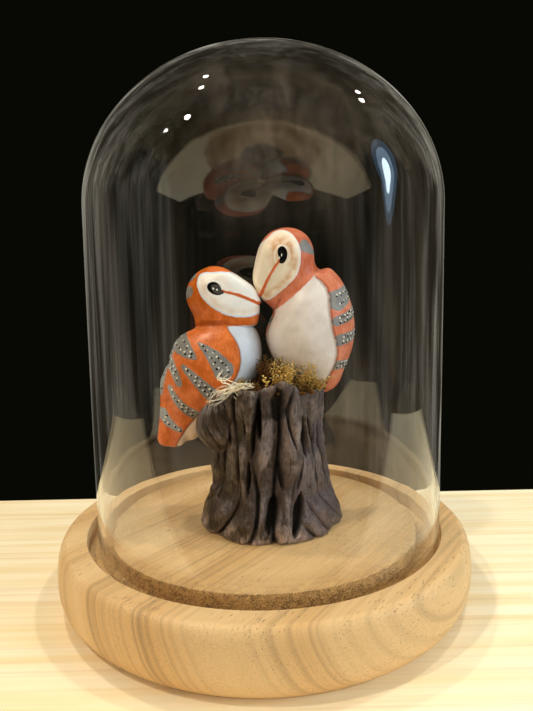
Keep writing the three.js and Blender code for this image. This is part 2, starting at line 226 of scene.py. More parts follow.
def smooth_path(knots: Array, places: Array) -> tuple[Array, Array]:
    """A Catmull-Rom curve through knots: on each span, the cubic whose end slopes are half the
    chord between that end's neighbours.

    Args:
        knots: (k, 3) points.
        places: where to read the curve, from 0 to 1.

    Returns:
        The curve's points and its unit tangents, one of each for each place.
    """
    padded = np.vstack([2 * knots[0] - knots[1], knots, 2 * knots[-1] - knots[-2]])
    spans = len(knots) - 1
    x = np.clip(places, 0, 1) * spans
    i = np.minimum(np.floor(x).astype(int), spans - 1)
    t = (x - i)[:, None]
    a, b, c, d = (padded[i + k] for k in range(4))
    p = 0.5 * (2 * b + (c - a) * t + (2 * a - 5 * b + 4 * c - d) * t**2 + (3 * b - 3 * c + d - a) * t**3)
    q = 0.5 * ((c - a) + 2 * (2 * a - 5 * b + 4 * c - d) * t + 3 * (3 * b - 3 * c + d - a) * t**2)
    return p, unit(q)


# ---- meshes


def grid_faces(rows: int, columns: int) -> Array:
    """Quads of a grid that is closed across its columns, facing out where columns turn to the left
    as rows go up.

    Args:
        rows: how many rows of points.
        columns: points in each row.

    Returns:
        The faces, as indices of points.
    """
    i, j = np.meshgrid(np.arange(rows - 1), np.arange(columns), indexing="ij")
    here, beside = i * columns + j, i * columns + (j + 1) % columns
    return np.stack([here, beside, beside + columns, here + columns], -1).reshape(-1, 4)


def fan_faces(ring: int, columns: int, centre: int, upward: bool) -> Array:
    """Triangles from the ring that starts at index ring to one centre point.

    Args:
        ring: index of the ring's first point.
        columns: points in the ring.
        centre: index of the centre point.
        upward: whether they face up.

    Returns:
        The faces, as indices of points.
    """
    j = np.arange(columns)
    here, beside = ring + j, ring + (j + 1) % columns
    edge = [here, beside] if upward else [beside, here]
    return np.stack([*edge, np.full(columns, centre)], -1)


def mesh_object(name: str, points: Array, faces: list[Array]) -> Piece:
    """Makes a smooth mesh object at the origin.

    Args:
        name: the object's name.
        points: (n, 3), in millimetres.
        faces: arrays of corner indices, each array with its own number of corners.

    Returns:
        The new object, linked to the scene.
    """
    sizes = np.concatenate([np.full(len(f), f.shape[1]) for f in faces])
    corners = np.concatenate([f.ravel() for f in faces])
    mesh = bpy.data.meshes.new(name)
    mesh.vertices.add(len(points))
    mesh.vertices.foreach_set("co", (points * MM).astype(np.float32).ravel())
    mesh.loops.add(len(corners))
    mesh.loops.foreach_set("vertex_index", corners.astype(np.int32))
    mesh.polygons.add(len(sizes))
    mesh.polygons.foreach_set("loop_start", (np.cumsum(sizes) - sizes).astype(np.int32))
    mesh.update(calc_edges=True)
    mesh.validate()
    mesh.shade_smooth()
    piece = bpy.data.objects.new(name, mesh)
    bpy.context.scene.collection.objects.link(piece)
    return piece


def tube_ends(rows: int, columns: int) -> Array:
    """Triangles that close a grid's first and last rows with the two points that come after it."""
    return np.vstack([fan_faces(0, columns, rows * columns, upward=False),
                      fan_faces((rows - 1) * columns, columns, rows * columns + 1, upward=True)])


def mesh_of_parts(name: str, points: Array, quads: Array, triangles: Array) -> Piece:
    """Many like parts as one mesh object: a (parts, points, 3) array, and the faces of the first part.

    Args:
        name: the object's name.
        points: in millimetres.
        quads: corner indices in the first part.
        triangles: likewise.

    Returns:
        The new object.
    """
    first = (np.arange(len(points)) * points.shape[1])[:, None, None]
    faces = [(quads + first).reshape(-1, 4), (triangles + first).reshape(-1, 3)]
    return mesh_object(name, points.reshape(-1, 3), faces)


def closed_skin(name: str, grid: Array, first: Array, last: Array) -> Piece:
    """A closed surface from a (rows, columns, 3) grid whose first and last rows run in to two points.

    Args:
        name: the object's name.
        grid: the points of its side.
        first: the point past the first row.
        last: the point past the last row.

    Returns:
        The new object.
    """
    rows, columns = grid.shape[:2]
    points = np.vstack([grid.reshape(-1, 3), first, last])
    return mesh_object(name, points, [grid_faces(rows, columns), tube_ends(rows, columns)])


def turned(name: str, profile: Array, segments: int, shift: float = 0.0) -> Piece:
    """Turns a (n, 2) profile of radius and height about Z, its first and last points on the axis.

    Args:
        name: the object's name.
        profile: in millimetres.
        segments: points in each ring.
        shift: how far the axis stands to +X of Z.

    Returns:
        The new object.
    """
    radius, height = profile[1:-1, 0], profile[1:-1, 1]
    grid = np.empty((len(radius), segments, 3))
    grid[..., :2] = radius[:, None, None] * circle(turns(segments))
    grid[..., 2] = height[:, None]
    ends = [np.array([[0.0, 0.0, profile[k, 1]]]) for k in (0, -1)]
    move = np.array([shift, 0.0, 0.0])
    return closed_skin(name, grid + move, ends[0] + move, ends[1] + move)


def points_of(piece: Piece) -> Array:
    """A piece's points, in metres.

    Args:
        piece: whose points they are.

    Returns:
        One point for each vertex.
    """
    points = np.empty(len(piece.data.vertices) * 3)
    piece.data.vertices.foreach_get("co", points)
    return points.reshape(-1, 3)


def tell(piece: Piece, **values: Array) -> None:
    """Stores one number for each vertex under each name, for the finish to read.

    Args:
        piece: what keeps them.
        values: the numbers, under their names.
    """
    for name, numbers in values.items():
        layer = piece.data.attributes.new(name, "FLOAT", "POINT")
        layer.data.foreach_set("value", np.ascontiguousarray(numbers, dtype=np.float32).ravel())


def patch_map(piece: Piece, count: int, along: Array, side: Array) -> None:
    """Gives each part of a mesh of like parts its own patch of a UV map, along up it and side across.

    Args:
        piece: the joined mesh.
        count: how many parts it has.
        along: where each vertex of one part is along it, from 0 to 1.
        side: where each is across it, from 0 to 1.
    """
    owner = np.repeat(np.arange(count), len(along))
    across = math.ceil(math.sqrt(count))
    corner = np.stack([owner % across, owner // across], -1) / across
    places = np.tile(np.stack([side, along], -1), (count, 1)) * 0.8 / across + corner + 0.1 / across
    index = np.empty(len(piece.data.loops), np.int32)
    piece.data.loops.foreach_get("vertex_index", index)
    layer = piece.data.uv_layers.new(name="OFBake")
    layer.uv.foreach_set("vector", places[index].astype(np.float32).ravel())


def set_up(piece: Piece, material: Material, body: Body) -> None:
    """Dresses a piece and hangs it on its body.

    Args:
        piece: what is set up.
        material: what it is dressed in.
        body: what it moves with.
    """
    piece.data.materials.append(material)
    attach(piece, body.value)
    log.info("%s: %d faces on %s", piece.name, len(piece.data.polygons), body.value)


# ---- forms


@dataclass(frozen=True)
class LocalFrame:
    """A frame at a point, its front +X turned left by yaw after pitch tips it down, in degrees."""

    at: Vec
    yaw: float = 0.0
    pitch: float = 0.0

    @property
    def axes(self) -> Array:
        """The frame's axes as the columns of a matrix.

        Returns:
            A matrix of three by three.
        """
        yaw, pitch = math.radians(self.yaw), math.radians(self.pitch)
        turn = np.array([[math.cos(yaw), -math.sin(yaw), 0], [math.sin(yaw), math.cos(yaw), 0], [0, 0, 1]])
        tip = np.array([[math.cos(pitch), 0, math.sin(pitch)], [0, 1, 0],
                        [-math.sin(pitch), 0, math.cos(pitch)]])
        return turn @ tip

    def local(self, points: Array) -> Array:
        """Points of the model, as seen in this frame."""
        return (points - np.array(self.at)) @ self.axes

    def world(self, points: Array) -> Array:
        """Points of this frame, as seen in the model's."""
        return points @ self.axes.T + np.array(self.at)


def lean_back(points: Array, at: Vec, lean: float) -> Array:
    """Points seen from a centre, with a lean of so many degrees to the front taken out.

    Args:
        points: any points of the model.
        at: the centre.
        lean: the lean, in degrees.

    Returns:
        The points, from the centre and upright.
    """
    q = points - np.array(at)
    x, z = rotated(q[..., 0], q[..., 2], lean)
    return np.stack([x, q[..., 1], z], -1)


@dataclass(frozen=True)
class Ellipsoid:
    """An ellipsoid that leans to the front."""

    at: Vec
    radii: Vec
    lean: float = 0.0

    def distance(self, points: Array) -> Array:
        """k(k - 1) / m, where k is the length of the scaled point and m that of it scaled twice.

        Args:
            points: where to measure.

        Returns:
            The distance at each point, below 0 inside.
        """
        scaled = lean_back(points, self.at, self.lean) / np.array(self.radii)
        length = np.linalg.norm(scaled, axis=-1)
        steep = np.linalg.norm(scaled / np.array(self.radii), axis=-1)
        return length * (length - 1) / np.maximum(steep, 1e-6)


@dataclass(frozen=True)
class RoundedBox:
    """A box with round edges that leans to the front."""

    at: Vec
    half: Vec
    round: float
    lean: float = 0.0

    def distance(self, points: Array) -> Array:
        """Distance to the inner box less the round, plus the largest side while inside it.

        Args:
            points: where to measure.

        Returns:
            The distance at each point, below 0 inside.
        """
        past = np.abs(lean_back(points, self.at, self.lean)) - np.array(self.half) + self.round
        outside = np.linalg.norm(np.maximum(past, 0), axis=-1)
        return outside + np.minimum(past.max(-1), 0) - self.round


@dataclass(frozen=True)
class TaperedRod:
    """A rod with round ends, whose radius runs evenly from one end to the other."""

    start: Vec
    end: Vec
    radii: Pair

    def distance(self, points: Array) -> Array:
        """Distance to the nearest point of the axis, less the radius there.

        Args:
            points: where to measure.

        Returns:
            The distance at each point, below 0 inside.
        """
        start, run = np.array(self.start), np.array(self.end) - np.array(self.start)
        t = np.clip((points - start) @ run / (run @ run), 0, 1)
        across = np.linalg.norm(points - start - t[..., None] * run, axis=-1)
        return across - (self.radii[0] + (self.radii[1] - self.radii[0]) * t)


@dataclass(frozen=True)
class Leaf:
    """A painted leaf in side view: a bent drop whose half width runs from its tip to its end."""

    tip: Pair
    end: Pair
    radii: Pair
    bow: float = 0.0

    def distance(self, x: Array, z: Array) -> Array:
        """Distance to the bowed middle line less the half width at that place along it.

        Args:
            x: places to the front.
            z: their heights.

        Returns:
            The distance at each point, below 0 inside.
        """
        along, across, length = self.unbend(x, z)
        t = np.clip(along / length, 0, 1)
        past = np.maximum(along - length, 0) + np.minimum(along, 0)
        width = self.radii[0] + (self.radii[1] - self.radii[0]) * t**0.75
        return np.hypot(past, across) - width

    def unbend(self, x: Array, z: Array) -> tuple[Array, Array, float]:
        """Places along and across the middle line, bow * 4t(1 - t) off the straight, and its length.

        Args:
            x: places to the front.
            z: their heights.

        Returns:
            The places along it, those across it, and its length.
        """
        along, across, length = along_line(x, z, self.tip, self.end)
        t = np.clip(along / length, 0, 1)
        return along, across - self.bow * 4 * t * (1 - t), length

    def place(self, t: Array, across: Array) -> tuple[Array, Array]:
        """The x and z of a place a share t along the leaf and so far across its middle line.

        Args:
            t: from 0 at the tip to 1 at the end.
            across: off the middle line.

        Returns:
            The place's x and z.
        """
        run = np.array(self.end) - np.array(self.tip)
        ux, uz = run / np.hypot(*run)
        off = across + self.bow * 4 * t * (1 - t)
        return self.tip[0] + run[0] * t - uz * off, self.tip[1] + run[1] * t + ux * off


@dataclass(frozen=True)
class Wing:
    """The folded wing in side view: a round shoulder that tapers to a tip, and the mantle behind it."""

    shoulder: Pair
    shoulder_radius: float
    tip: Pair
    tip_radius: float
    mantle_front: float = 8.3
    mantle_above: float = 4.5
    mantle_back: float = -8.0
    mantle_back_height: float = -20.0
    mantle_slope: float = 0.55
    mantle_blend: float = 3.0
    rise: float = 0.7
    edge: float = 0.55

    def distance(self, q: Array) -> Array:
        """Distance to the two round ends and the straight lines that touch both, joined to the mantle.

        Args:
            q: points in the body's frame.

        Returns:
            The distance at each point.
        """
        x, z = q[..., 0], q[..., 2]
        along, across, length = along_line(x, z, self.shoulder, self.tip)
        across = np.abs(across)
        sine = (self.shoulder_radius - self.tip_radius) / length
        cosine = math.sqrt(1 - sine * sine)
        place = along * cosine - across * sine
        leaf = along * sine + across * cosine - self.shoulder_radius
        leaf = np.where(place < 0, np.hypot(along, across) - self.shoulder_radius, leaf)
        leaf = np.where(place > length * cosine, np.hypot(along - length, across) - self.tip_radius, leaf)
        upper = np.maximum(x - self.mantle_front, self.mantle_above - z)
        lower = np.maximum(x - self.mantle_back - self.mantle_slope * (z - self.mantle_back_height), z)
        return blend(blend(leaf, upper, self.mantle_blend), lower, self.mantle_blend)

    def raised(self, q: Array) -> Array:
        """How far the wing stands proud at a point: its rise inside the outline, eased over the edge."""
        return self.rise * smoothstep(self.edge, -self.edge, self.distance(q))


@dataclass(frozen=True)
class HeadForm:
    """The owls' head, in its own frame: +X to the beak, +Z to the crown, origin amid the skull."""

    skull: Ellipsoid = Ellipsoid((-0.5, 0, -0.5), (17.2, 14.6, 14.6))
    jaw: Ellipsoid = Ellipsoid((8.3, 0, -8.5), (9.8, 7.8, 9.2))
    jaw_blend: float = 6.0
    forehead_tilt: float = 56.7
    forehead_reach: float = 10.9
    cheek_turn: float = 22.0
    cheek_reach: float = 12.6
    plane_blend: float = 3.0
    line_start: Pair = (1.8, 1.3)
    line_end: Pair = (18.6, -5.0)
    line_bow: float = 0.9
    line_width: float = 1.5
    bridge_rise: float = 0.7
    bridge_edge: float = 0.7
    face_at: Pair = (5.9, 1.2)
    face_half: Pair = (17.0, 10.9)
    face_tilt: float = 33.0
    face_top: float = 10.3
    face_low: float = -12.4
    face_round: float = 2.5
    collar: float = -15.4
    ruff_centre: float = 1.8
    ruff_half: Pair = (15.4, 12.0)
    ruff_top: float = -5.0
    ruff_edge: float = 1.6
    ruff_blend: float = 3.0
    roof_slope: float = 0.4
    roof_blend: float = 2.0
    patches: tuple[Leaf, ...] = (
        Leaf((-17.5, 7.5), (-12.6, 9.0), (2.6, 1.8)),
        Leaf((-17.0, 0.2), (-14.4, 1.2), (2.6, 2.7)),
    )

    def line_height(self, x: Array) -> Array:
        """Height of the line from eye to beak: a straight run with a bow of 4t(1 - t).

        Args:
            x: places to the front.

        Returns:
            The line's height at each.
        """
        (x0, z0), (x1, z1) = self.line_start, self.line_end
        t = (x - x0) / (x1 - x0)
        return z0 + (z1 - z0) * t + self.line_bow * 4 * t * (1 - t)

    def ruff_distance(self, q: Array) -> Array:
        """An upright elliptic wall under the skull, closed by rounded edges at the collar and the top.

        Args:
            q: points in the head's frame.

        Returns:
            The distance at each point, below 0 inside.
        """
        oval = Ellipsoid((self.ruff_centre, 0, 0), (*self.ruff_half, 1.0))
        wall = oval.distance(q * np.array([1.0, 1.0, 0.0]))
        wall = trim(wall, self.collar - q[..., 2], self.ruff_edge)
        return trim(wall, q[..., 2] - self.ruff_top, self.ruff_edge)

    def above_roof(self, q: Array) -> Array:
        """Height over the cone that falls away from the collar, under which the body keeps."""
        reach = np.hypot(q[..., 0] - self.ruff_centre, q[..., 1]) - self.ruff_half[1]
        return q[..., 2] - self.collar + self.roof_slope * reach

    def distance(self, q: Array) -> Array:
        """Skull joined to jaw and ruff, cut by the forehead's and cheeks' planes, plus the raised bridge.

        Args:
            q: points in the head's frame.

        Returns:
            The distance at each point.
        """
        tilt, turn = math.radians(self.forehead_tilt), math.radians(self.cheek_turn)
        x, y, z = np.moveaxis(q, -1, 0)
        slope = x * math.cos(tilt) + z * math.sin(tilt)
        side = x * math.sin(turn) + np.abs(y) * math.cos(turn)
        form = blend(self.skull.distance(q), self.jaw.distance(q), self.jaw_blend)
        form = blend(form, self.ruff_distance(q), self.ruff_blend)
        form = trim(form, slope - self.forehead_reach, self.plane_blend)
        form = trim(form, side - self.cheek_reach, self.plane_blend)
        below = self.line_height(x) - z
        proud = smoothstep(self.bridge_edge, -self.bridge_edge, below) * smoothstep(-4, 4, x)
        return form - self.bridge_rise * proud

    def face_distance(self, q: Array) -> Array:
        """Side-view distance to the pale face: a tilted ellipse, cut level at crown and chin.

        Args:
            q: points in the head's frame.

        Returns:
            The distance at each point, below 0 inside.
        """
        u, v = rotated(q[..., 0] - self.face_at[0], q[..., 2] - self.face_at[1], self.face_tilt)
        u, v = u / self.face_half[0], v / self.face_half[1]
        length = np.hypot(u, v)
        steep = np.hypot(u / self.face_half[0], v / self.face_half[1])
        face = length * (length - 1) / np.maximum(steep, 1e-6)
        face = trim(face, q[..., 2] - self.face_top, self.face_round)
        return trim(face, self.face_low - q[..., 2], self.face_round)

    def line_distance(self, q: Array) -> Array:
        """Side-view distance to the painted line, which is widest amid its run.

        Args:
            q: points in the head's frame.

        Returns:
            The distance at each point, below 0 inside.
        """
        x, start, run = q[..., 0], self.line_start[0], self.line_end[0] - self.line_start[0]
        t = np.clip((x - start) / run, 0, 1)
        height = self.line_height(start + t * run)
        past = np.maximum(start - x, 0)
        return np.hypot(q[..., 2] - height, past) - self.line_width / 2 * (0.75 + 0.5 * t)


# ---- node graphs


class Graph:
    """Short calls for building a node tree; sockets and plain values go in the same way."""

    def __init__(self, tree: bpy.types.NodeTree) -> None:
        """Takes the tree that the calls add to."""
        self.tree = tree

    def add(self, kind: str, inputs: Inputs | None = None, **settings: object) -> bpy.types.Node:
        """A new node of a kind, with its settings and what goes into its sockets.

        Args:
            kind: the node's type.
            inputs: what goes into it, by the name or number of the socket.
            settings: its own properties.

        Returns:
            The node.
        """
        node = self.tree.nodes.new(kind)
        for name, value in settings.items():
            setattr(node, name, value)
        for name, value in (inputs or {}).items():
            self.feed(node.inputs[name], value)
        return node

    def feed(self, socket: Socket, value: object) -> None:
        """Links a socket's source, or sets its plain value.

        Args:
            socket: what takes it.
            value: a source, a plain value, or None to leave the socket alone.
        """
        if isinstance(value, Socket):
            self.tree.links.new(value, socket)
        elif value is not None:
            socket.default_value = value

    def math(self, kind: str, *values: object, clamp: bool = False) -> Socket:
        """One Math node over up to three values."""
        return self.add("ShaderNodeMath", dict(enumerate(values)), operation=kind, use_clamp=clamp).outputs[0]

    def times(self, *values: object) -> Socket:
        """All of its values multiplied."""
        return reduce(lambda a, b: self.math("MULTIPLY", a, b), values)

    def plus(self, *values: object) -> Socket:
        """All of its values added up."""
        return reduce(lambda a, b: self.math("ADD", a, b), values)

    def most(self, *values: object) -> Socket:
        """The largest of its values."""
        return reduce(lambda a, b: self.math("MAXIMUM", a, b), values)

    def mix(self, share: object, low: object, high: object, kind: str = "MIX") -> Socket:
        """Goes from one colour to another as share goes from 0 to 1."""
        inputs = {0: share, 6: low, 7: high}
        return self.add("ShaderNodeMix", inputs, data_type="RGBA", blend_type=kind).outputs[2]

    def layers(self, colour: object, *over: tuple[object, object]) -> Socket:
        """A colour with others laid over it in turn, each given as its mask and its colour."""
        return reduce(lambda under, layer: self.mix(layer[0], under, layer[1]), over, colour)

    def remap(self, value: object, low: float, high: float, to_low: float = 0.0, to_high: float = 1.0,
              smooth: bool = False) -> Socket:
        """Carries a value's range to another range, held at its ends.

        Args:
            value: what to carry.
            low: one end of its range.
            high: the other end.
            to_low: where low goes.
            to_high: where high goes.
            smooth: whether it eases in and out.

        Returns:
            The carried value.
        """
        inputs = dict(enumerate((value, low, high, to_low, to_high)))
        kind = "SMOOTHSTEP" if smooth else "LINEAR"
        return self.add("ShaderNodeMapRange", inputs, interpolation_type=kind).outputs[0]

    def noise(self, at: object, scale: float, detail: float = 2.0, rough: float = 0.5,
              bend: float = 0.0) -> Socket:
        """Soft noise from 0 to 1, with so many lumps to a millimetre."""
        inputs = {"Vector": at, "Scale": scale, "Detail": detail, "Roughness": rough, "Distortion": bend}
        return self.add("ShaderNodeTexNoise", inputs).outputs["Fac"]

    def pores(self, at: object) -> Socket:
        """Distance to the nearest of many scattered points."""
        inputs = {"Vector": at, "Scale": 1.0, "Randomness": 1.0}
        return self.add("ShaderNodeTexVoronoi", inputs, feature="F1").outputs["Distance"]

    def ramp(self, value: object, *stops: tuple[float, Colour]) -> Socket:
        """A colour ramp through the stops given.

        Args:
            value: what picks the colour.
            stops: places from 0 to 1 with their colours.

        Returns:
            The colour.
        """
        node = self.add("ShaderNodeValToRGB", {0: value})
        line = node.color_ramp
        for index, (place, colour) in enumerate(stops):
            stop = line.elements[index] if index < 2 else line.elements.new(place)
            stop.position, stop.color = place, colour
        return node.outputs[0]

    def told(self, name: str) -> Socket:
        """A number that the mesh keeps for each vertex."""
        return self.add("ShaderNodeAttribute", attribute_name=name).outputs["Fac"]

    def place(self, scale: Vec = (1.0, 1.0, 1.0), turn: Vec = (0.0, 0.0, 0.0)) -> Socket:
        """Object coordinates in millimetres, turned in degrees and then stretched.

        Args:
            scale: the stretch along each axis.
            turn: the turn about each axis.

        Returns:
            The coordinates.
        """
        source, angles = self.add("ShaderNodeTexCoord").outputs["Object"], [math.radians(a) for a in turn]
        turned_by = self.add("ShaderNodeMapping", {"Vector": source, "Rotation": angles}).outputs[0]
        per_metre = [part / MM for part in scale]
        return self.add("ShaderNodeMapping", {"Vector": turned_by, "Scale": per_metre}).outputs[0]

    def split(self, at: object) -> tuple[Socket, ...]:
        """A vector's three parts."""
        return tuple(self.add("ShaderNodeSeparateXYZ", {0: at}).outputs)

    def join(self, x: object, y: object, z: object) -> Socket:
        """A vector from three parts."""
        return self.add("ShaderNodeCombineXYZ", {0: x, 1: y, 2: z}).outputs[0]

    def scaled(self, parts: tuple[Socket, ...], *by: object, kind: str = "MULTIPLY") -> Socket:
        """A vector from three parts, each multiplied, or divided, by its own value."""
        return self.join(*(self.math(kind, part, value) for part, value in zip(parts, by)))

    def group(self, tree: bpy.types.NodeTree, **values: float) -> bpy.types.bpy_prop_collection:
        """What a shared group puts out, its inputs given by their names with _ for a space."""
        inputs = {name.replace("_", " "): value for name, value in values.items()}
        return self.add("ShaderNodeGroup", inputs, node_tree=tree).outputs

    def bump(self, height: object) -> Socket:
        """The normal of a surface that rises by height, in millimetres."""
        inputs = {"Height": height, "Strength": 1.0, "Distance": MM}
        return self.add("ShaderNodeBump", inputs).outputs[0]


def new_group(name: str, inputs: dict[str, float], outputs: tuple[str, ...]) -> tuple[Graph, object, object]:
    """Makes an empty shader group.

    Args:
        name: the group's name.
        inputs: each input's name and its usual value.
        outputs: the names of the values that it puts out.

    Returns:
        The group's graph, its input node's outputs and its output node's inputs.
    """
    tree = bpy.data.node_groups.new(name, "ShaderNodeTree")
    for label, value in inputs.items():
        tree.interface.new_socket(label, in_out="INPUT", socket_type="NodeSocketFloat").default_value = value
    for label in outputs:
        tree.interface.new_socket(label, in_out="OUTPUT", socket_type="NodeSocketFloat")
    graph = Graph(tree)
    return graph, graph.add("NodeGroupInput").outputs, graph.add("NodeGroupOutput").inputs


def brush_group() -> bpy.types.NodeTree:
    """Brushed paint: streaks drawn out along Z, their tone from 0 to 1 and their height in millimetres.

    Returns:
        The group's own tree.
    """
    if found := bpy.data.node_groups.get("Brushed paint"):
        return found
    inputs = {"Streak width": 0.5, "Patch size": 6.0, "Height": 0.02}
    g, given, made = new_group("Brushed paint", inputs, ("Tone", "Height"))
    parts = g.split(g.place())
    width, patch = given["Streak width"], given["Patch size"]
    streaks = g.noise(g.scaled(parts, width, width, g.times(width, 9.0), kind="DIVIDE"), 1.0, 2.0)
    patches = g.noise(g.scaled(parts, patch, patch, patch, kind="DIVIDE"), 1.0, 3.0, 0.55, 0.4)
    tone = g.math("MULTIPLY_ADD", streaks, 0.35, g.times(patches, 0.65))
    g.feed(made["Tone"], g.remap(tone, 0.32, 0.68))
    g.feed(made["Height"], g.times(streaks, given["Height"]))
    return g.tree


def pitting_group() -> bpy.types.NodeTree:
    """Fine pits: scattered round dents, as a mask from 0 to 1 and as a height in millimetres.

    Returns:
        The group's own tree.
    """
    if found := bpy.data.node_groups.get("Fine pitting"):
        return found
    inputs = {"Pit size": 0.8, "Share": 0.5, "Depth": 0.1}
    g, given, made = new_group("Fine pitting", inputs, ("Pits", "Height"))
    parts = g.split(g.place())
    size = given["Pit size"]
    region = g.times(size, 4.0)
    near = g.pores(g.scaled(parts, size, size, size, kind="DIVIDE"))
    where = g.noise(g.scaled(parts, region, region, region, kind="DIVIDE"), 1.0)
    reach = g.times(g.remap(where, 0.35, 0.7), g.times(given["Share"], 0.8))
    pits = g.math("SUBTRACT", 1.0, g.math("DIVIDE", near, g.plus(reach, 0.02)), clamp=True)
    g.feed(made["Pits"], pits)
    g.feed(made["Height"], g.times(pits, given["Depth"], -1.0))
    return g.tree


@dataclass(frozen=True)
class Finish:
    """What every finish has: a name, and the numbers that are the same all over it."""

    name: str
    roughness: float = 0.5
    specular: float = 0.5

    def look(self, g: Graph) -> Inputs:
        """Builds the finish's nodes, and gives what goes into each of the shader's sockets."""
        raise NotImplementedError

    def dress(self) -> Material:
        """The finish's material with a Principled shader, built the first time that it is asked for.

        Returns:
            The material.
        """
        if found := bpy.data.materials.get(self.name):
            return found
        material = bpy.data.materials.new(self.name)
        material.use_nodes = True
        g = Graph(material.node_tree)
        shader = g.tree.nodes["Principled BSDF"]
        plain = {"Roughness": self.roughness, "Specular IOR Level": self.specular}
        for name, value in (plain | self.look(g)).items():
            g.feed(shader.inputs[name], value)
        return material


@dataclass(frozen=True)
class OwlPaint(Finish):
    """Satin paint brushed on the owls, its fields bounded by the distances that the skin keeps."""

    name: str = "Painted owl"
    roughness: float = 0.34
    specular: float = 0.4
    golden: Colour = srgb(186, 88, 0)
    deep_orange: Colour = srgb(192, 88, 20)
    orange: Colour = srgb(226, 110, 40)
    bright_orange: Colour = srgb(244, 158, 98)
    grey: Colour = srgb(116, 108, 98)
    pale_grey: Colour = srgb(160, 161, 158)
    white: Colour = srgb(214, 219, 226)
    warm_white: Colour = srgb(196, 192, 186)
    # Pinkish paint under the tail, made paler than the breast as painted light on that lobe.
    lit_peach: Colour = srgb(255, 226, 196)
    cream: Colour = srgb(247, 239, 226)
    tan: Colour = srgb(216, 160, 100)
    line: Colour = srgb(220, 104, 52)
    # Painted shade, with some built-up paint: multiplied in near the collar and the wing edges.
    crease_paint_and_shade: Colour = srgb(150, 100, 72)
    wobble: float = 0.8
    paint_height: float = 0.05

    def look(self, g: Graph) -> Inputs:
        """Orange, then the leaves, the breast, the face and its line laid over it in that order, and painted
        shade, with some built-up paint, darkening the creases.

        Args:
            g: the material's graph.

        Returns:
            What goes into each of the shader's sockets.
        """
        brush = g.group(brush_group(), Streak_width=0.55, Patch_size=7.0, Height=0.035)
        fine = g.group(brush_group(), Streak_width=0.3, Patch_size=2.2, Height=0.012)
        tone, small = brush["Tone"], fine["Tone"]
        shaky = g.times(g.math("SUBTRACT", g.noise(g.place(), 0.45, 2.0), 0.5), self.wobble)

        def inside(name: str, soft: float = 0.1) -> Socket:
            """1 inside a painted field and 0 outside it, with a slightly unsteady edge."""
            return g.remap(g.plus(g.told(name), shaky), -soft, soft, 1.0, 0.0)

        leaves, breast, face, line = inside("grey"), inside("pale"), inside("face"), inside("line", 0.08)
        orange = g.mix(g.times(small, 0.45), self.orange, self.bright_orange)
        deep = g.mix(g.told("golden"), self.deep_orange, self.golden)
        share = g.math("MULTIPLY_ADD", g.told("golden"), -0.45, g.remap(tone, 0.1, 0.75), clamp=True)
        orange = g.mix(share, deep, orange)
        # Painted highlight: the grey leaves turn paler along the owl's back.
        grey = g.mix(g.math("MULTIPLY_ADD", tone, 0.6, g.times(g.told("sheen_highlight"), 0.7)),
                     self.grey, self.pale_grey)
        # The under-tail lobe: its own pinkish paint, brightened as painted light.
        white = g.layers(self.white, (g.times(tone, 0.55), self.warm_white), (g.told("vent"), self.lit_peach))
        blush = g.times(g.told("blush"), g.remap(g.noise(g.place(), 0.22, 3.0), 0.3, 0.62))
        cream = g.layers(self.cream, (g.times(small, 0.25), self.warm_white),
                         (g.times(blush, 0.9), self.tan), (g.remap(g.told("face"), -1.1, -0.5), self.white))
        drawn = g.times(line, g.remap(g.told("face"), -0.2, -0.5))
        colour = g.layers(orange, (leaves, grey), (breast, white), (face, cream), (drawn, self.line))
        # Painted shade, with some built-up paint, darkens the colour in the creases.
        near = g.remap(g.told("crease_paint_and_shade"), 0.0, 0.9, 0.55, 0.0, smooth=True)
        colour = g.mix(near, colour, g.mix(1.0, colour, self.crease_paint_and_shade, "MULTIPLY"))
        fields = g.plus(g.most(leaves, face, breast), line)
        height = g.math("MULTIPLY_ADD", fields, self.paint_height, brush["Height"])
        carved = g.noise(g.place(), 0.16, 1.0)
        height = g.math("MULTIPLY_ADD", carved, 0.35, g.plus(height, fine["Height"]))
        rough = g.remap(small, 0.0, 1.0, self.roughness - 0.06, self.roughness + 0.1)
        return {"Base Color": colour, "Roughness": rough, "Normal": g.bump(height)}


@dataclass(frozen=True)
class EyePaint(Finish):
    """Glossy black eye with a worn paler ring and two small brushed catchlights."""

    name: str = "Glossy eye"
    roughness: float = 0.14
    specular: float = 0.22
    pupil: Colour = srgb(66, 64, 56)
    ring: Colour = srgb(96, 92, 82)
    rim: Colour = srgb(12, 11, 11)
    glint: Colour = srgb(250, 248, 242)
    ring_share: float = 0.7

    def look(self, g: Graph) -> Inputs:
        """Pupil, dotted ring, dark rim, and the glints over them.

        Args:
            g: the material's graph.

        Returns:
            What goes into each of the shader's sockets.
        """
        disc = g.told("disc")
        dots = g.remap(g.noise(g.place(), 1.6, 1.0), 0.42, 0.56)
        band = g.times(g.remap(disc, 0.4, 0.46), g.remap(disc, 0.6, 0.54))
        glint = g.remap(g.told("glint"), -0.04, 0.04, 1.0, 0.0)
        colour = g.layers(self.pupil, (g.times(band, dots, self.ring_share), self.ring),
                          (g.remap(disc, 0.62, 0.66), self.rim), (glint, self.glint))
        return {"Base Color": colour, "Normal": g.bump(g.times(glint, 0.04))}


@dataclass(frozen=True)
class SpeckPaint(Finish):
    """Raised dots of paint, each a little lighter or darker than the next."""

    roughness: float = 0.6
    specular: float = 0.2
    low: Colour = srgb(5, 5, 5)
    high: Colour = srgb(16, 14, 13)

    def look(self, g: Graph) -> Inputs:
        """One tone for each dot, with faint brushing.

        Args:
            g: the material's graph.

        Returns:
            What goes into each of the shader's sockets.
        """
        brush = g.group(brush_group(), Streak_width=0.2, Patch_size=0.8, Height=0.01)
        share = g.math("MULTIPLY_ADD", g.told("tone"), 0.7, g.times(brush["Tone"], 0.3))
        return {"Base Color": g.mix(share, self.low, self.high), "Normal": g.bump(brush["Height"])}


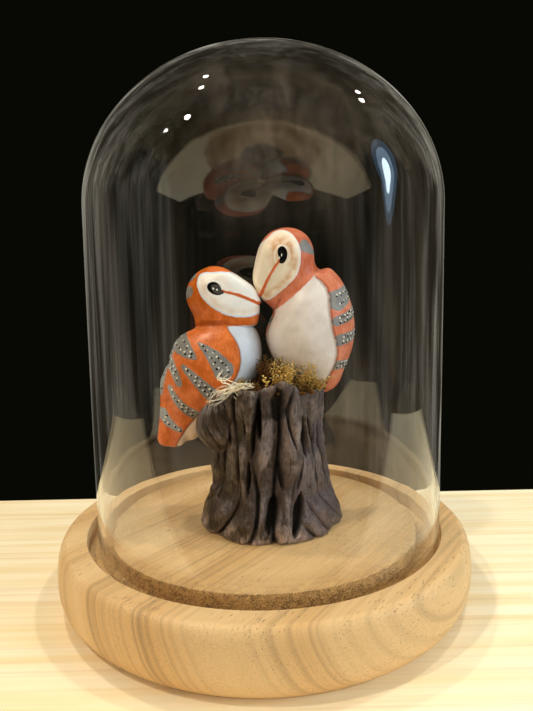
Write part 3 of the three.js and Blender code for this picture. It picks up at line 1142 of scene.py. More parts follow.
@dataclass(frozen=True)
class BarkFinish(Finish):
    """Dark brown stain on the carved stump, with painted shade black in the furrows, and painted highlights
    paler on crests and toes, the toes partly worn.
    """

    name: str = "Stained stump"
    roughness: float = 0.32
    specular: float = 0.7
    varnish: float = 0.35
    varnish_roughness: float = 0.16
    # Painted shade: the colour in furrows, slots, pits and the dished top.
    hollow: Colour = srgb(9, 6, 4)
    # Painted light: darker and warm on the left side, paler and cooler on the right.
    warm_shaded_side: Colour = srgb(50, 35, 14)
    cool_lit_side: Colour = srgb(90, 76, 74)
    # Painted highlight on the raised parts.
    crest: Colour = srgb(142, 122, 112)
    # Painted highlight on the toes and rim, with some wear.
    worn: Colour = srgb(176, 150, 136)

    def look(self, g: Graph) -> Inputs:
        """Painted light: darker and warm to the left, paler and cooler to the right; then painted shade in
        the hollows, painted highlights on crests, and on toes partly worn, over it.

        Args:
            g: the material's graph.

        Returns:
            What goes into each of the shader's sockets.
        """
        brush = g.group(brush_group(), Streak_width=0.6, Patch_size=8.0, Height=0.34)
        fine = g.group(brush_group(), Streak_width=0.24, Patch_size=2.0, Height=0.14)
        pits = g.group(pitting_group(), Pit_size=1.3, Share=0.8, Depth=0.25)
        across = g.split(g.place())[0]
        tone, small = brush["Tone"], fine["Tone"]
        # Painted light: the colour turns paler and cooler towards +X.
        side = g.plus(g.remap(across, -12.0, 26.0), g.math("SUBTRACT", tone, 0.5))
        # Painted highlight on crests.
        crest = g.times(g.told("crest"), g.remap(tone, 0.25, 0.8, 0.0, 0.9))
        # Painted highlight, with some wear, on the toes and rim.
        worn = g.times(g.told("worn"), g.remap(tone, 0.4, 0.9))
        # Painted shade in cavities and pits, with random darker streaks.
        dark = g.most(g.told("cavity"), g.times(pits["Pits"], 0.75),
                      g.remap(small, 0.4, 0.05, 0.0, 0.7))
        height = g.plus(*(effect["Height"] for effect in (brush, fine, pits)))
        return {
            "Base Color": g.layers(self.warm_shaded_side, (g.remap(side, -0.1, 1.1), self.cool_lit_side), (crest, self.crest),
                                   (worn, self.worn), (dark, self.hollow)),
            "Roughness": g.remap(small, 0.0, 1.0, self.roughness + 0.2, self.roughness - 0.08),
            "Coat Weight": self.varnish,
            "Coat Roughness": self.varnish_roughness,
            "Normal": g.bump(height),
        }


@dataclass(frozen=True)
class MossFinish(Finish):
    """Dried moss: golden, olive or brown leaflets, paler to their tips, and stems and leaflets painted dark
    towards their feet as shade down in the moss.
    """

    name: str = "Dried moss"
    roughness: float = 0.8
    specular: float = 0.25
    # Painted shade, down in the moss and on its bed.
    dark: Colour = srgb(24, 15, 7)
    brown: Colour = srgb(132, 76, 26)
    olive: Colour = srgb(120, 90, 38)
    golden: Colour = srgb(240, 190, 96)
    pale: Colour = srgb(255, 236, 168)

    def look(self, g: Graph) -> Inputs:
        """Each frond's own tone, with painted shade dark at its foot, up to pale at its tip.

        Args:
            g: the material's graph.

        Returns:
            What goes into each of the shader's sockets.
        """
        tone, along = g.told("tone"), g.told("along")
        grown = g.ramp(tone, (0.0, self.brown), (1.0, self.golden), (0.45, self.olive), (0.75, self.golden))
        tip = g.times(g.remap(along, 0.7, 1.0, 0.0, 0.8), g.remap(tone, 0.2, 0.8, 0.15, 1.0))
        grain = g.noise(g.place(), 1.8, 3.0)
        # Painted shade: near black at the foot of each frond, and so on the bed.
        colour = g.layers(self.dark, (g.remap(along, 0.0, 0.55), grown), (tip, self.pale),
                          (g.remap(grain, 0.35, 0.65, 0.35, 0.0), self.dark))
        return {"Base Color": colour, "Normal": g.bump(g.times(grain, 0.15))}


@dataclass(frozen=True)
class StrawFinish(Finish):
    """Pale dried straw, with long fine streaks and darker joints."""

    name: str = "Dried straw"
    roughness: float = 0.45
    dark: Colour = srgb(214, 178, 124)
    mid: Colour = srgb(255, 242, 208)
    pale: Colour = srgb(255, 252, 236)

    def look(self, g: Graph) -> Inputs:
        """Each fibre's own tone, with streaks and blotches.

        Args:
            g: the material's graph.

        Returns:
            What goes into each of the shader's sockets.
        """
        blotch = g.noise(g.place(), 0.5, 3.0)
        share = g.math("MULTIPLY_ADD", g.told("tone"), 0.6, g.times(blotch, 0.4))
        colour = g.ramp(share, (0.1, self.dark), (0.95, self.pale), (0.4, self.mid))
        return {"Base Color": colour, "Normal": g.bump(g.times(blotch, 0.05))}


@dataclass(frozen=True)
class TurnedWood(Finish):
    """Pale oiled wood: growth bands and fibre run straight through the turned block, with open pores."""

    name: str = "Turned pale wood"
    roughness: float = 0.5
    fibre_turn: float = 53.0
    band_slant: float = 0.45
    pale: Colour = srgb(230, 198, 148)
    golden: Colour = srgb(204, 158, 98)
    band: Colour = srgb(150, 120, 82)
    pore: Colour = srgb(92, 62, 36)
    raw: Colour = srgb(140, 98, 50)
    raw_pale: Colour = srgb(196, 156, 96)

    def look(self, g: Graph) -> Inputs:
        """Bands by distance across the fibre, fine streaks along it, open pores, and raw turned walls.

        Args:
            g: the material's graph.

        Returns:
            What goes into each of the shader's sockets.
        """
        parts = along, across, up = g.split(g.place(turn=(0.0, 0.0, -self.fibre_turn)))
        drift = g.noise(g.scaled(parts, 0.008, 0.02, 0.03), 1.0, 1.0)
        ring = g.math("SUBTRACT", across, g.times(up, self.band_slant))
        ring = g.math("MULTIPLY_ADD", drift, 5.0, ring)
        wide = g.noise(g.join(g.times(ring, 0.055), 3.7, g.times(along, 0.002)), 1.0, 1.0)
        close = g.noise(g.join(g.times(ring, 0.38), 9.1, g.times(along, 0.004)), 1.0, 3.0)
        bands = g.times(g.remap(close, 0.48, 0.7), g.remap(wide, 0.36, 0.58))
        fibre = g.noise(g.scaled(parts, 0.06, 1.7, 1.7), 1.0, 4.0, 0.6)
        cells = g.pores(g.scaled(parts, 0.16, 1.25, 1.25))
        where = g.remap(g.noise(g.scaled(parts, 0.02, 0.08, 0.08), 1.0), 0.34, 0.58)
        open_pores = g.times(g.remap(cells, 0.1, 0.24, 1.0, 0.0), where)
        raw = g.told("raw")
        pits = g.group(pitting_group(), Pit_size=0.75, Share=1.3, Depth=0.35)
        torn = g.layers(self.raw, (g.remap(fibre, 0.35, 0.65), self.raw_pale),
                        (g.times(pits["Pits"], 0.85), self.pore))
        colour = g.layers(self.pale, (g.remap(wide, 0.3, 0.7, 0.1, 0.8), self.golden),
                          (g.remap(fibre, 0.3, 0.7, 0.0, 0.6), self.golden), (g.times(bands, 0.7), self.band),
                          (g.times(open_pores, 0.7), self.pore), (raw, torn))
        height = g.math("MULTIPLY_ADD", fibre, 0.05, g.times(open_pores, -0.12))
        height = g.plus(height, g.times(pits["Height"], raw, 1.6))
        return {
            "Base Color": colour,
            "Roughness": g.remap(raw, 0.0, 1.0, self.roughness, 0.85),
            "Normal": g.bump(height),
        }


@dataclass(frozen=True)
class ClearGlass(Finish):
    """Clear blown glass that lets shadow and bounced rays straight through, so the inside is lit."""

    name: str = "Clear glass"
    roughness: float = 0.0
    ior: float = 1.5
    passed: Colour = (0.97, 0.975, 0.97, 1.0)

    def look(self, g: Graph) -> Inputs:
        """Principled glass for what is seen, mixed with plain transparency for shadow and diffuse rays.

        Args:
            g: the material's graph.

        Returns:
            What goes into each of the shader's sockets.
        """
        path = g.add("ShaderNodeLightPath").outputs
        share = g.most(path["Is Shadow Ray"], path["Is Diffuse Ray"])
        glass = g.tree.nodes["Principled BSDF"].outputs[0]
        clear = g.add("ShaderNodeBsdfTransparent", {0: self.passed}).outputs[0]
        both = g.add("ShaderNodeMixShader", {0: share, 1: glass, 2: clear})
        g.feed(g.tree.nodes["Material Output"].inputs["Surface"], both.outputs[0])
        smear = g.noise(g.place((1.0, 1.0, 0.4)), 0.02, 2.0)
        return {
            "Base Color": (1.0, 1.0, 1.0, 1.0),
            "Transmission Weight": 1.0,
            "IOR": self.ior,
            "Normal": g.bump(g.times(smear, 0.6)),
        }


@dataclass(frozen=True)
class BoardFinish(Finish):
    """The plain pale board that everything stands on."""

    name: str = "Pale board"
    roughness: float = 0.6
    pale: Colour = srgb(253, 240, 206)
    darker: Colour = srgb(244, 222, 172)
    grain: Colour = srgb(222, 184, 128)

    def look(self, g: Graph) -> Inputs:
        """Faint straight grain from side to side.

        Args:
            g: the material's graph.

        Returns:
            What goes into each of the shader's sockets.
        """
        grain = g.noise(g.place((0.006, 0.12, 0.12)), 1.0, 3.0)
        streak = g.noise(g.place((0.004, 0.4, 0.4)), 1.0, 2.0)
        return {"Base Color": g.layers(self.pale, (g.remap(grain, 0.35, 0.65), self.darker),
                                       (g.remap(streak, 0.52, 0.7, 0.0, 0.35), self.grain))}


# ---- base and dome


@dataclass
class WoodenBase:
    """The turned base: a disc with rounded sides, a ring groove for the dome and a raised middle."""

    foot_radius: float = 94.6
    foot_round: float = 1.5
    side_radius: float = 100.0
    side_height: float = 14.0
    rim_radius: float = 95.5
    height: float = 29.0
    groove_outer: float = 86.6
    groove_inner: float = 75.3
    groove_depth: float = 7.0
    edge: float = 0.5
    segments: int = 288
    finish: TurnedWood = TurnedWood()

    def curve(self, start: tuple, control: tuple, end: tuple, steps: int) -> Array:
        """A quadratic curve: (1 - t)^2 start + 2t(1 - t) control + t^2 end."""
        t = np.linspace(0, 1, steps)[:, None]
        return (1 - t) ** 2 * np.array(start) + 2 * t * (1 - t) * np.array(control) + t**2 * np.array(end)

    def eased(self, before: Pair, corner: Pair, after: Pair) -> Array:
        """A corner rounded over the edge width, from its side towards before to its side towards after.

        Args:
            before: the profile's point before it.
            corner: its radius and height.
            after: the point after it.

        Returns:
            The rounded corner's points.
        """
        start, end = (np.array(corner) + unit(np.array(p) - np.array(corner)) * self.edge
                      for p in (before, after))
        return self.curve(start, corner, end, 5)

    def profile(self) -> Array:
        """Radius and height from the middle of the underside, out and over the rim, to the top's middle.

        Returns:
            The profile's points.
        """
        top, floor = self.height, self.height - self.groove_depth
        side = (self.side_radius, self.side_height)
        low_corner, high_corner = (self.side_radius, self.foot_round + 4), (self.side_radius, top - 1)
        rim, outer, inner = (self.rim_radius, top), (self.groove_outer, top), (self.groove_inner, top)
        lower = self.curve((self.foot_radius, self.foot_round), low_corner, side, 16)
        upper = self.curve(side, high_corner, rim, 22)
        around = [tuple(upper[-4]), rim, outer, (self.groove_outer, floor), (self.groove_inner, floor),
                  inner, (0.0, top)]
        eased = [self.eased(*three) for three in zip(around, around[1:], around[2:])]
        under = [(r, 0.0) for r in (0.0, 30.0, 60.0, self.foot_radius - self.foot_round)]
        plateau = [(r, top) for r in (60.0, 45.0, 30.0, 15.0, 0.0)]
        return np.vstack([under, lower, upper[1:-3], *eased, plateau])

    def build(self) -> None:
        """Turns the profile, and marks the groove's inner wall and floor as raw wood."""
        base = turned("turned_wooden_base", self.profile(), self.segments)
        points = points_of(base) / MM
        radius = np.hypot(points[:, 0], points[:, 1])
        inside = smoothstep(self.groove_outer - 2.0, self.groove_outer - 5.0, radius)
        inside = inside * smoothstep(self.groove_inner - 1.1, self.groove_inner - 0.3, radius)
        tell(base, raw=inside * smoothstep(self.height + 0.3, self.height - 0.2, points[:, 2]))
        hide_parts("base")
        set_up(base, self.finish.dress(), Body.BASE)


@dataclass
class GlassDome:
    """The blown glass dome, which lifts off."""

    radius: float = 83.6
    wall: float = 3.0
    shoulder_height: float = 180.0
    crown_rise: float = 72.0
    foot: float = 22.3
    shift: float = 2.3
    waver: float = 0.12
    segments: int = 288
    finish: ClearGlass = ClearGlass()

    def profile(self) -> Array:
        """Inner crown down to the rounded foot, and up the outside to the outer crown.

        Returns:
            The profile's points.
        """
        half, inner = self.wall / 2, self.radius - self.wall
        quarter = circle(np.linspace(math.pi / 2, 0, 40))
        shoulder = np.array([0.0, self.shoulder_height])
        crown_in = shoulder + quarter * np.array([inner, self.crown_rise - self.wall])
        crown_out = shoulder + quarter * np.array([self.radius, self.crown_rise])
        around = circle(np.linspace(math.pi, TURN, 13)[1:-1])
        foot = np.array([self.radius - half, self.foot + half]) + around * half
        straight = np.linspace(self.shoulder_height, self.foot + self.wall, 26)[1:]
        down = np.column_stack([np.full_like(straight, inner), straight])
        up = np.column_stack([np.full_like(straight, self.radius), straight[::-1]])
        path = np.vstack([crown_in, down, foot, up, crown_out[::-1]])
        path[0, 0] = path[-1, 0] = 0.0
        return path

    def build(self) -> None:
        """Turns the profile and lets both walls waver a little, as blown glass does."""
        dome = turned("clear_glass_dome", self.profile(), self.segments, self.shift)
        points = points_of(dome)
        angle = np.arctan2(points[:, 1], points[:, 0] - self.shift * MM)
        height = points[:, 2] / MM
        wave = np.sin(2 * angle + height / 60) + 0.6 * np.sin(3 * angle - height / 37 + 1.0)
        wave *= self.waver * smoothstep(30, 60, height) * smoothstep(252, 200, height) * MM
        points[:, 0] += wave * np.cos(angle)
        points[:, 1] += wave * np.sin(angle)
        dome.data.vertices.foreach_set("co", points.astype(np.float32).ravel())
        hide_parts("glass_dome")
        set_up(dome, self.finish.dress(), Body.DOME)


# ---- stump


@dataclass(frozen=True)
class Ridge:
    """Lobes round the trunk: how many, how deep, where they start and how far they twist."""

    count: int
    depth: float
    phase: float
    twist: float


@dataclass(frozen=True)
class Carving:
    """One feature cut in, or left proud of, the trunk's wall: angle and heights, half width, depth, lean.

    The angle is in degrees, heights run from 0 at the foot to 1 at the rim, sizes are in millimetres,
    and the lean is in degrees over the whole height.
    """

    angle: float
    low: float
    high: float
    half: float
    depth: float
    lean: float = 0.0

    def place(self, angle: Array, height: Array, radius: Array) -> tuple[Array, Array]:
        """How far a point is across and along the feature, as shares of its half sizes.

        Args:
            angle: the point's angle.
            height: its height.
            radius: its distance from the axis.

        Returns:
            The share across and the share along.
        """
        rise = height - (self.low + self.high) / 2
        at = math.radians(self.angle) + math.radians(self.lean) * rise
        return wrapped(angle - at) * radius / self.half, rise / ((self.high - self.low) / 2)

    def swell(self, angle: Array, height: Array, radius: Array) -> Array:
        """1 amid the feature, falling softly as exp(-x^4 - z^4)."""
        across, along = self.place(angle, height, radius)
        return np.exp(-across**4 - along**4)

    def hole(self, angle: Array, height: Array, radius: Array) -> Array:
        """1 inside a pointed slot |x| + 0.35 z^2 + 0.65 z^4 < 1, with a crisp edge."""
        across, along = self.place(angle, height, radius)
        return 1 - smoothstep(0.55, 1.15, np.abs(across) + 0.35 * along**2 + 0.65 * along**4)


def carvings(*rows: tuple[float, ...]) -> tuple[Carving, ...]:
    """One feature from each row of its sizes."""
    return tuple(Carving(*row) for row in rows)


@dataclass
class Stump:
    """The carved stump: a flared trunk with wandering furrows, deep slots, bosses and rolled toes."""

    centre: Pair = (3.5, -1.0)
    floor: float = 29.0
    top: float = 97.0
    hollow: float = 1.5
    waist: float = 21.5
    taper: float = 9.5
    taper_rate: float = 2.0
    root_flare: float = 3.5
    root_height: float = 0.3
    rim_flare: float = 3.0
    rim_start: float = 0.7
    rim_width: float = 3.5
    rises: tuple[Vec, ...] = ((-1.5, 2.2, 0.8), (-1.33, 3.2, 0.16))
    ridges: tuple[Ridge, ...] = (Ridge(7, 1.5, 0.6, 0.9), Ridge(11, 1.0, 2.1, -0.7))
    slots: tuple[Carving, ...] = carvings(
        (-102, 0.66, 0.95, 1.3, 6.5, -6), (-117.5, 0.69, 0.81, 0.9, 4.5, 0),
        (-112.5, 0.28, 0.53, 1.0, 5.0, 0), (-126, 0.34, 0.58, 0.8, 4.0, -5),
        (-50.5, 0.52, 0.83, 1.5, 6.5, -14), (-38, 0.61, 0.80, 1.4, 5.5, -42),
        (-59.5, 0.31, 0.55, 0.9, 3.4, 44), (-81, 0.74, 0.97, 3.4, 3.0, -12),
        (-90, 0.05, 0.29, 3.0, 4.5, 25), (-67, 0.03, 0.31, 2.8, 5.0, 46),
        (-80, 0.30, 0.52, 1.2, 3.0, -20), (-150, 0.2, 0.45, 1.0, 3.4, 6), (-10, 0.3, 0.6, 1.1, 3.6, -8),
        (25, 0.5, 0.8, 1.2, 4.4, 6), (62, 0.15, 0.45, 1.3, 4.4, -6), (95, 0.5, 0.82, 1.3, 4.8, 8),
        (130, 0.1, 0.4, 1.2, 4.0, 4), (160, 0.45, 0.75, 1.1, 4.0, -8),
    )
    bosses: tuple[Carving, ...] = carvings(
        (-95, 0.50, 0.84, 3.0, 2.6, 0), (-66, 0.42, 0.90, 5.0, 2.6, 4), (-111, 0.70, 0.99, 2.6, 1.8, 6),
        (-119.5, 0.28, 0.62, 2.2, 1.8, 0), (-44.5, 0.56, 0.84, 0.9, 1.6, -26),
        (-28, 0.2, 0.6, 4.0, 1.4, 6), (-79, 0.02, 0.28, 1.5, 2.0, 30), (-101, 0.05, 0.3, 1.8, 1.6, 20),
        (-136, 0.5, 0.95, 3.0, 1.2, 6), (40, 0.3, 0.8, 4.0, 1.8, -4), (112, 0.2, 0.7, 4.4, 1.8, 6),
        (178, 0.2, 0.8, 4.0, 1.6, -4),
    )
    furrows: int = 21
    around: int = 420
    up: int = 230
    seed: int = 7
    finish: BarkFinish = BarkFinish()

    def outline(self, angle: Array, height: Array) -> Array:
        """Taper, root flare and rim flare, with the cosine lobes of each ridge.

        Args:
            angle: the angle round the stump.
            height: from 0 at the foot to 1 at the rim.

        Returns:
            The radius there.
        """
        roots = 1 - smoothstep(0.08, self.root_height, height)
        radius = self.waist + self.taper * np.exp(-self.taper_rate * height)
        radius = radius + self.root_flare * roots + self.rim_flare * smoothstep(self.rim_start, 1, height)
        for ridge in self.ridges:
            turn = ridge.count * angle + ridge.phase + ridge.twist * height * 2
            radius = radius + ridge.depth * (1 - 0.5 * roots) * np.cos(turn)
        return radius

    def rim(self, angle: Array) -> Array:
        """The rim's height: small chips, and each rise exp(-(a / w)^2) high about its angle.

        Args:
            angle: the angle round the stump.

        Returns:
            The rim's height there.
        """
        chips = 0.5 * np.cos(5 * angle + 0.4) + 0.35 * np.cos(13 * angle + 2.0) + 0.3 * np.cos(23 * angle)
        raised = sum(high * bell(wrapped(angle - at), wide) for at, high, wide in self.rises)
        return self.top + raised + chips - 0.6

    def furrow_field(self, angle: Array, height: Array, radius: Array, rng: Rng) -> Array:
        """How far each furrow cuts in: the sum of depth(h) exp(-(x / w)^2) along wandering lines that
        fan out to the sides over the toes, where x is the distance round the wall.

        Args:
            angle: places round the wall.
            height: places up it, from 0 to 1.
            radius: the wall's radius there.
            rng: where the furrows' lines come from.

        Returns:
            The depth at each place.
        """
        side = np.sin(angle + math.pi / 2)
        swept = angle - 0.30 * side * np.clip(1 - height / 0.3, 0, 1) ** 1.6
        cut = np.zeros_like(angle)
        for index in range(self.furrows):
            start = (index + rng.uniform(-0.35, 0.35)) / self.furrows * TURN
            waves, phase, lean = rng.uniform(0.7, 1.8), rng.uniform(0, TURN), rng.uniform(-0.12, 0.12)
            line = start + 0.075 * np.sin(TURN * waves * height + phase) + lean * (height - 0.5)
            across = wrapped(swept - line) * radius
            depth = rng.uniform(0.2, 0.9) + 0.55 * smooth_noise(np.zeros_like(height), height, (1, 6), rng)
            depth, width = np.clip(depth, 0, 1.2), rng.uniform(0.5, 1.0)
            cut += depth * (2.8 * bell(across, width * 0.8) + 1.2 * bell(across, width * 2.4))
        return cut

    def wall_grid(self) -> tuple[Array, dict[str, Array]]:
        """The wall from foot to rim, its rolled foot and rounded lip, with what the finish reads of it.

        Returns:
            The grid of points, and how far each is painted dark as shade in a cavity, paler as a highlight on
            a crest, or paler as highlight and wear on toes and rim.
        """
        rng = np.random.default_rng(self.seed)
        angle, height = np.meshgrid(turns(self.around), np.linspace(0, 1, self.up) ** 1.05)
        radius = self.outline(angle, height)
        cut = self.furrow_field(angle, height, radius, rng)
        slots = sum(s.depth * s.hole(angle, height, radius) for s in self.slots)
        proud = sum(b.depth * b.swell(angle, height, radius) for b in self.bosses)
        share = angle / TURN
        fine = smooth_noise(share + 0.02 * np.sin(5 * height), height, (190, 9), rng) * 0.32
        fine += smooth_noise(share + 0.01 * np.sin(9 * height), height, (80, 34), rng) * 0.26
        lumps = smooth_noise(share, height, (26, 12), rng) * 0.8
        foot = np.clip(1 - height / 0.035, 0, 1)
        lip = np.clip((height - 0.965) / 0.035, 0, 1)
        radius = radius + 1.0 - cut - slots + proud + fine + lumps
        radius = radius - 1.8 * (1 - np.sqrt(1 - foot**2)) - 1.6 * (1 - np.sqrt(1 - lip**2))
        z = self.floor + height * (self.rim(angle) - self.floor)
        grid = np.concatenate([self.centre + radius[..., None] * circle(angle), z[..., None]], -1)
        # Painted shade: darkest in the deep furrows and slots.
        depth = np.clip((cut - 0.7) / 1.9, 0, 1) * 0.95 + np.clip(slots / 3.5, 0, 1)
        # Painted highlight on the raised parts.
        crest = np.clip((proud - cut * 0.8 + lumps + 0.4) / 1.8, 0, 1)
        # Painted highlight, with some wear: toes, most those facing left, and the rim.
        toes = smoothstep(0.16, 0.02, height) * np.clip(1.2 - cut, 0, 1)
        left = smoothstep(0.35, -0.3, np.cos(angle) + 0.4 * np.sin(angle))
        rim = smoothstep(0.95, 0.99, height) * np.clip(1.0 - cut, 0, 1)
        worn = np.clip(toes * (0.3 + 0.7 * left) + rim * 0.6, 0, 1)
        return grid, {"cavity": np.clip(depth, 0, 1), "crest": crest, "worn": worn}

    def build(self) -> None:
        """Closes the wall with the dished top and the flat foot, and dresses it."""
        wall, values = self.wall_grid()
        steps = np.array([0.35, 0.75, 1.0])[:, None, None]
        angle = turns(self.around)
        inner = self.outline(angle, np.ones_like(angle)) - self.rim_width
        middle = np.array([*self.centre, self.top - self.hollow])
        lip = middle + np.column_stack([inner[:, None] * circle(angle), np.zeros_like(angle)])
        over = wall[-1] + (lip - wall[-1]) * steps
        over[0, :, 2] = wall[-1, :, 2] + 0.1
        dish = middle + (lip - middle) * np.array([0.7, 0.35])[:, None, None]
        grid = np.concatenate([wall, over, dish])
        stump = closed_skin("carved_stump", grid, np.array([[*self.centre, self.floor]]), middle[None])
        extra = np.zeros((5, self.around))
        for name, value in values.items():
            # The dished top under the moss is painted dark as shade.
            filler = extra + (0.8 if name == "cavity" else 0.0)
            filler[:1] = value[-1]
            tell(stump, **{name: np.concatenate([value.ravel(), filler.ravel(), [0.0, 0.8]])})
        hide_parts("stump")
        set_up(stump, self.finish.dress(), Body.BASE)


@dataclass
class BranchStub:
    """The curled branch stub on the stump's left: a furrowed egg with a scoop towards the trunk, painted dark
    as shade.
    """

    at: Vec = (-20.0, -14.0, 79.5)
    radii: Vec = (11.5, 8.5, 12.5)
    scoop_at: Vec = (-11.6, -21.0, 78.5)
    scoop_radii: Vec = (4.2, 5.2, 9.0)
    scoop_lean: float = 18.0
    around: int = 150
    up: int = 110
    seed: int = 11

    def build(self, finish: BarkFinish) -> None:
        """An ellipsoid whose radius wavers with curving furrows, pushed in over the scoop.

        Args:
            finish: the stump's own.
        """
        rng = np.random.default_rng(self.seed)
        turn, rise, way = ball(self.around, self.up)
        swirl = turn + 0.5 * np.sin(rise)
        wave = np.abs(np.sin(6 * swirl + 0.8 * np.sin(2 * rise)))
        cut = 0.75 * (1 - wave) ** 2 + 0.4 * (1 - np.abs(np.sin(15 * swirl + 2.0))) ** 2
        cut = cut + 0.18 * smooth_noise(turn / TURN, rise / math.pi + 0.5, (80, 6), rng)
        lumps = 0.5 * smooth_noise(turn / TURN, rise / math.pi + 0.5, (7, 5), rng)
        points = np.array(self.at) + way * (np.array(self.radii) + (lumps - cut)[..., None])
        scoop = Ellipsoid(self.scoop_at, self.scoop_radii, self.scoop_lean)
        inside = np.clip(-scoop.distance(points), 0, 5)
        points = points - way * (inside * 1.1)[..., None]
        ends = [np.array([[self.at[0], self.at[1], self.at[2] + s * self.radii[2]]]) for s in (-1, 1)]
        stub = closed_skin("curled_branch_stub", points, *ends)
        # Painted shade in the furrows and the scoop.
        depth = np.clip(np.clip(cut - 0.45, 0, 1) * 0.8 + inside / 1.6, 0, 1)
        tell(stub, cavity=np.append(depth.ravel(), [0.3, 0.3]),
             crest=np.append(np.clip(0.35 + lumps - cut, 0, 0.6).ravel(), [0, 0]),
             worn=np.zeros(points.shape[0] * points.shape[1] + 2))
        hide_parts("stump_branch_stub")
        set_up(stub, finish.dress(), Body.BASE)


# ---- owls


@dataclass(frozen=True)
class BodyForm:
    """An owl's body in its own frame: +X to the breast, +Z up, origin amid the egg."""

    egg: Ellipsoid
    breast: Ellipsoid
    breast_blend: float
    tail: RoundedBox
    tail_blend: float
    vent: Ellipsoid
    vent_blend: float
    wing: Wing
    leaves: tuple[Leaf, ...]

    def distance(self, q: Array) -> Array:
        """The egg joined to breast, tail and vent in turn, less the wings' rise.

        Args:
            q: points in the body's frame.

        Returns:
            The distance at each point, below 0 inside.
        """
        form = blend(self.egg.distance(q), self.breast.distance(q), self.breast_blend)
        form = blend(form, self.tail.distance(q), self.tail_blend)
        form = blend(form, self.vent.distance(q), self.vent_blend)
        return form - self.wing.raised(q)


@dataclass(frozen=True)
class Eye:
    """A slightly domed eye on each cheek, a tilted ellipse in side view."""

    at: Pair = (0.2, 2.1)
    half: Pair = (4.8, 3.1)
    tilt: float = 26.0
    depth: float = 1.6
    proud: float = 0.55
    groove: float = 0.06
    glints: tuple[Leaf, ...] = (
        Leaf((-2.0, 0.5), (-1.85, 0.15), (0.3, 0.36)), Leaf((-0.4, -0.1), (-0.1, -0.4), (0.3, 0.34)),
    )
    around: int = 56
    up: int = 30


@dataclass(frozen=True)
class Specks:
    """Raised dots of paint in pairs, one dark and one pale, in rows along the leaves."""

    radius: float = 0.56
    height: float = 0.16
    step: float = 2.7
    gap: float = 1.0
    row_share: float = 0.42
    single_below: float = 2.2
    sides: int = 8
    rings: tuple[Pair, ...] = ((1.0, -0.35), (0.97, 0.35), (0.62, 0.85))

    def rows_on(self, leaf: Leaf, rng: Rng) -> tuple[Array, Array, Array]:
        """Places for pairs on one leaf.

        Args:
            leaf: the leaf in side view.
            rng: where the scatter comes from.

        Returns:
            The x and z of each pair's middle, and the direction in which its two dots lie.
        """
        past_end = leaf.radii[1] * 0.7
        run = math.dist(leaf.end, leaf.tip) + past_end
        count = max(int(run / self.step), 2)
        t = (np.arange(count) + 0.75) / count * run / max(run - past_end, 1e-6)
        t = np.clip(t, 0.06, 1.12)
        width = leaf.radii[0] + (leaf.radii[1] - leaf.radii[0]) * np.clip(t, 0, 1) ** 0.75
        rows = [np.where(width > self.single_below, self.row_share, 0.2 * (-1.0) ** np.arange(count)),
                np.where(width > self.single_below, -self.row_share, np.nan)]
        t_all = np.concatenate([t, t + 0.4 * self.step / run])
        off = np.concatenate(rows) * np.concatenate([width, width])
        keep = ~np.isnan(off) & (t_all < 1.0 + 0.55 * leaf.radii[1] / run)
        x, z = leaf.place(t_all[keep], off[keep] + rng.uniform(-0.25, 0.25, keep.sum()))
        return x, z, rng.uniform(0, TURN, keep.sum())


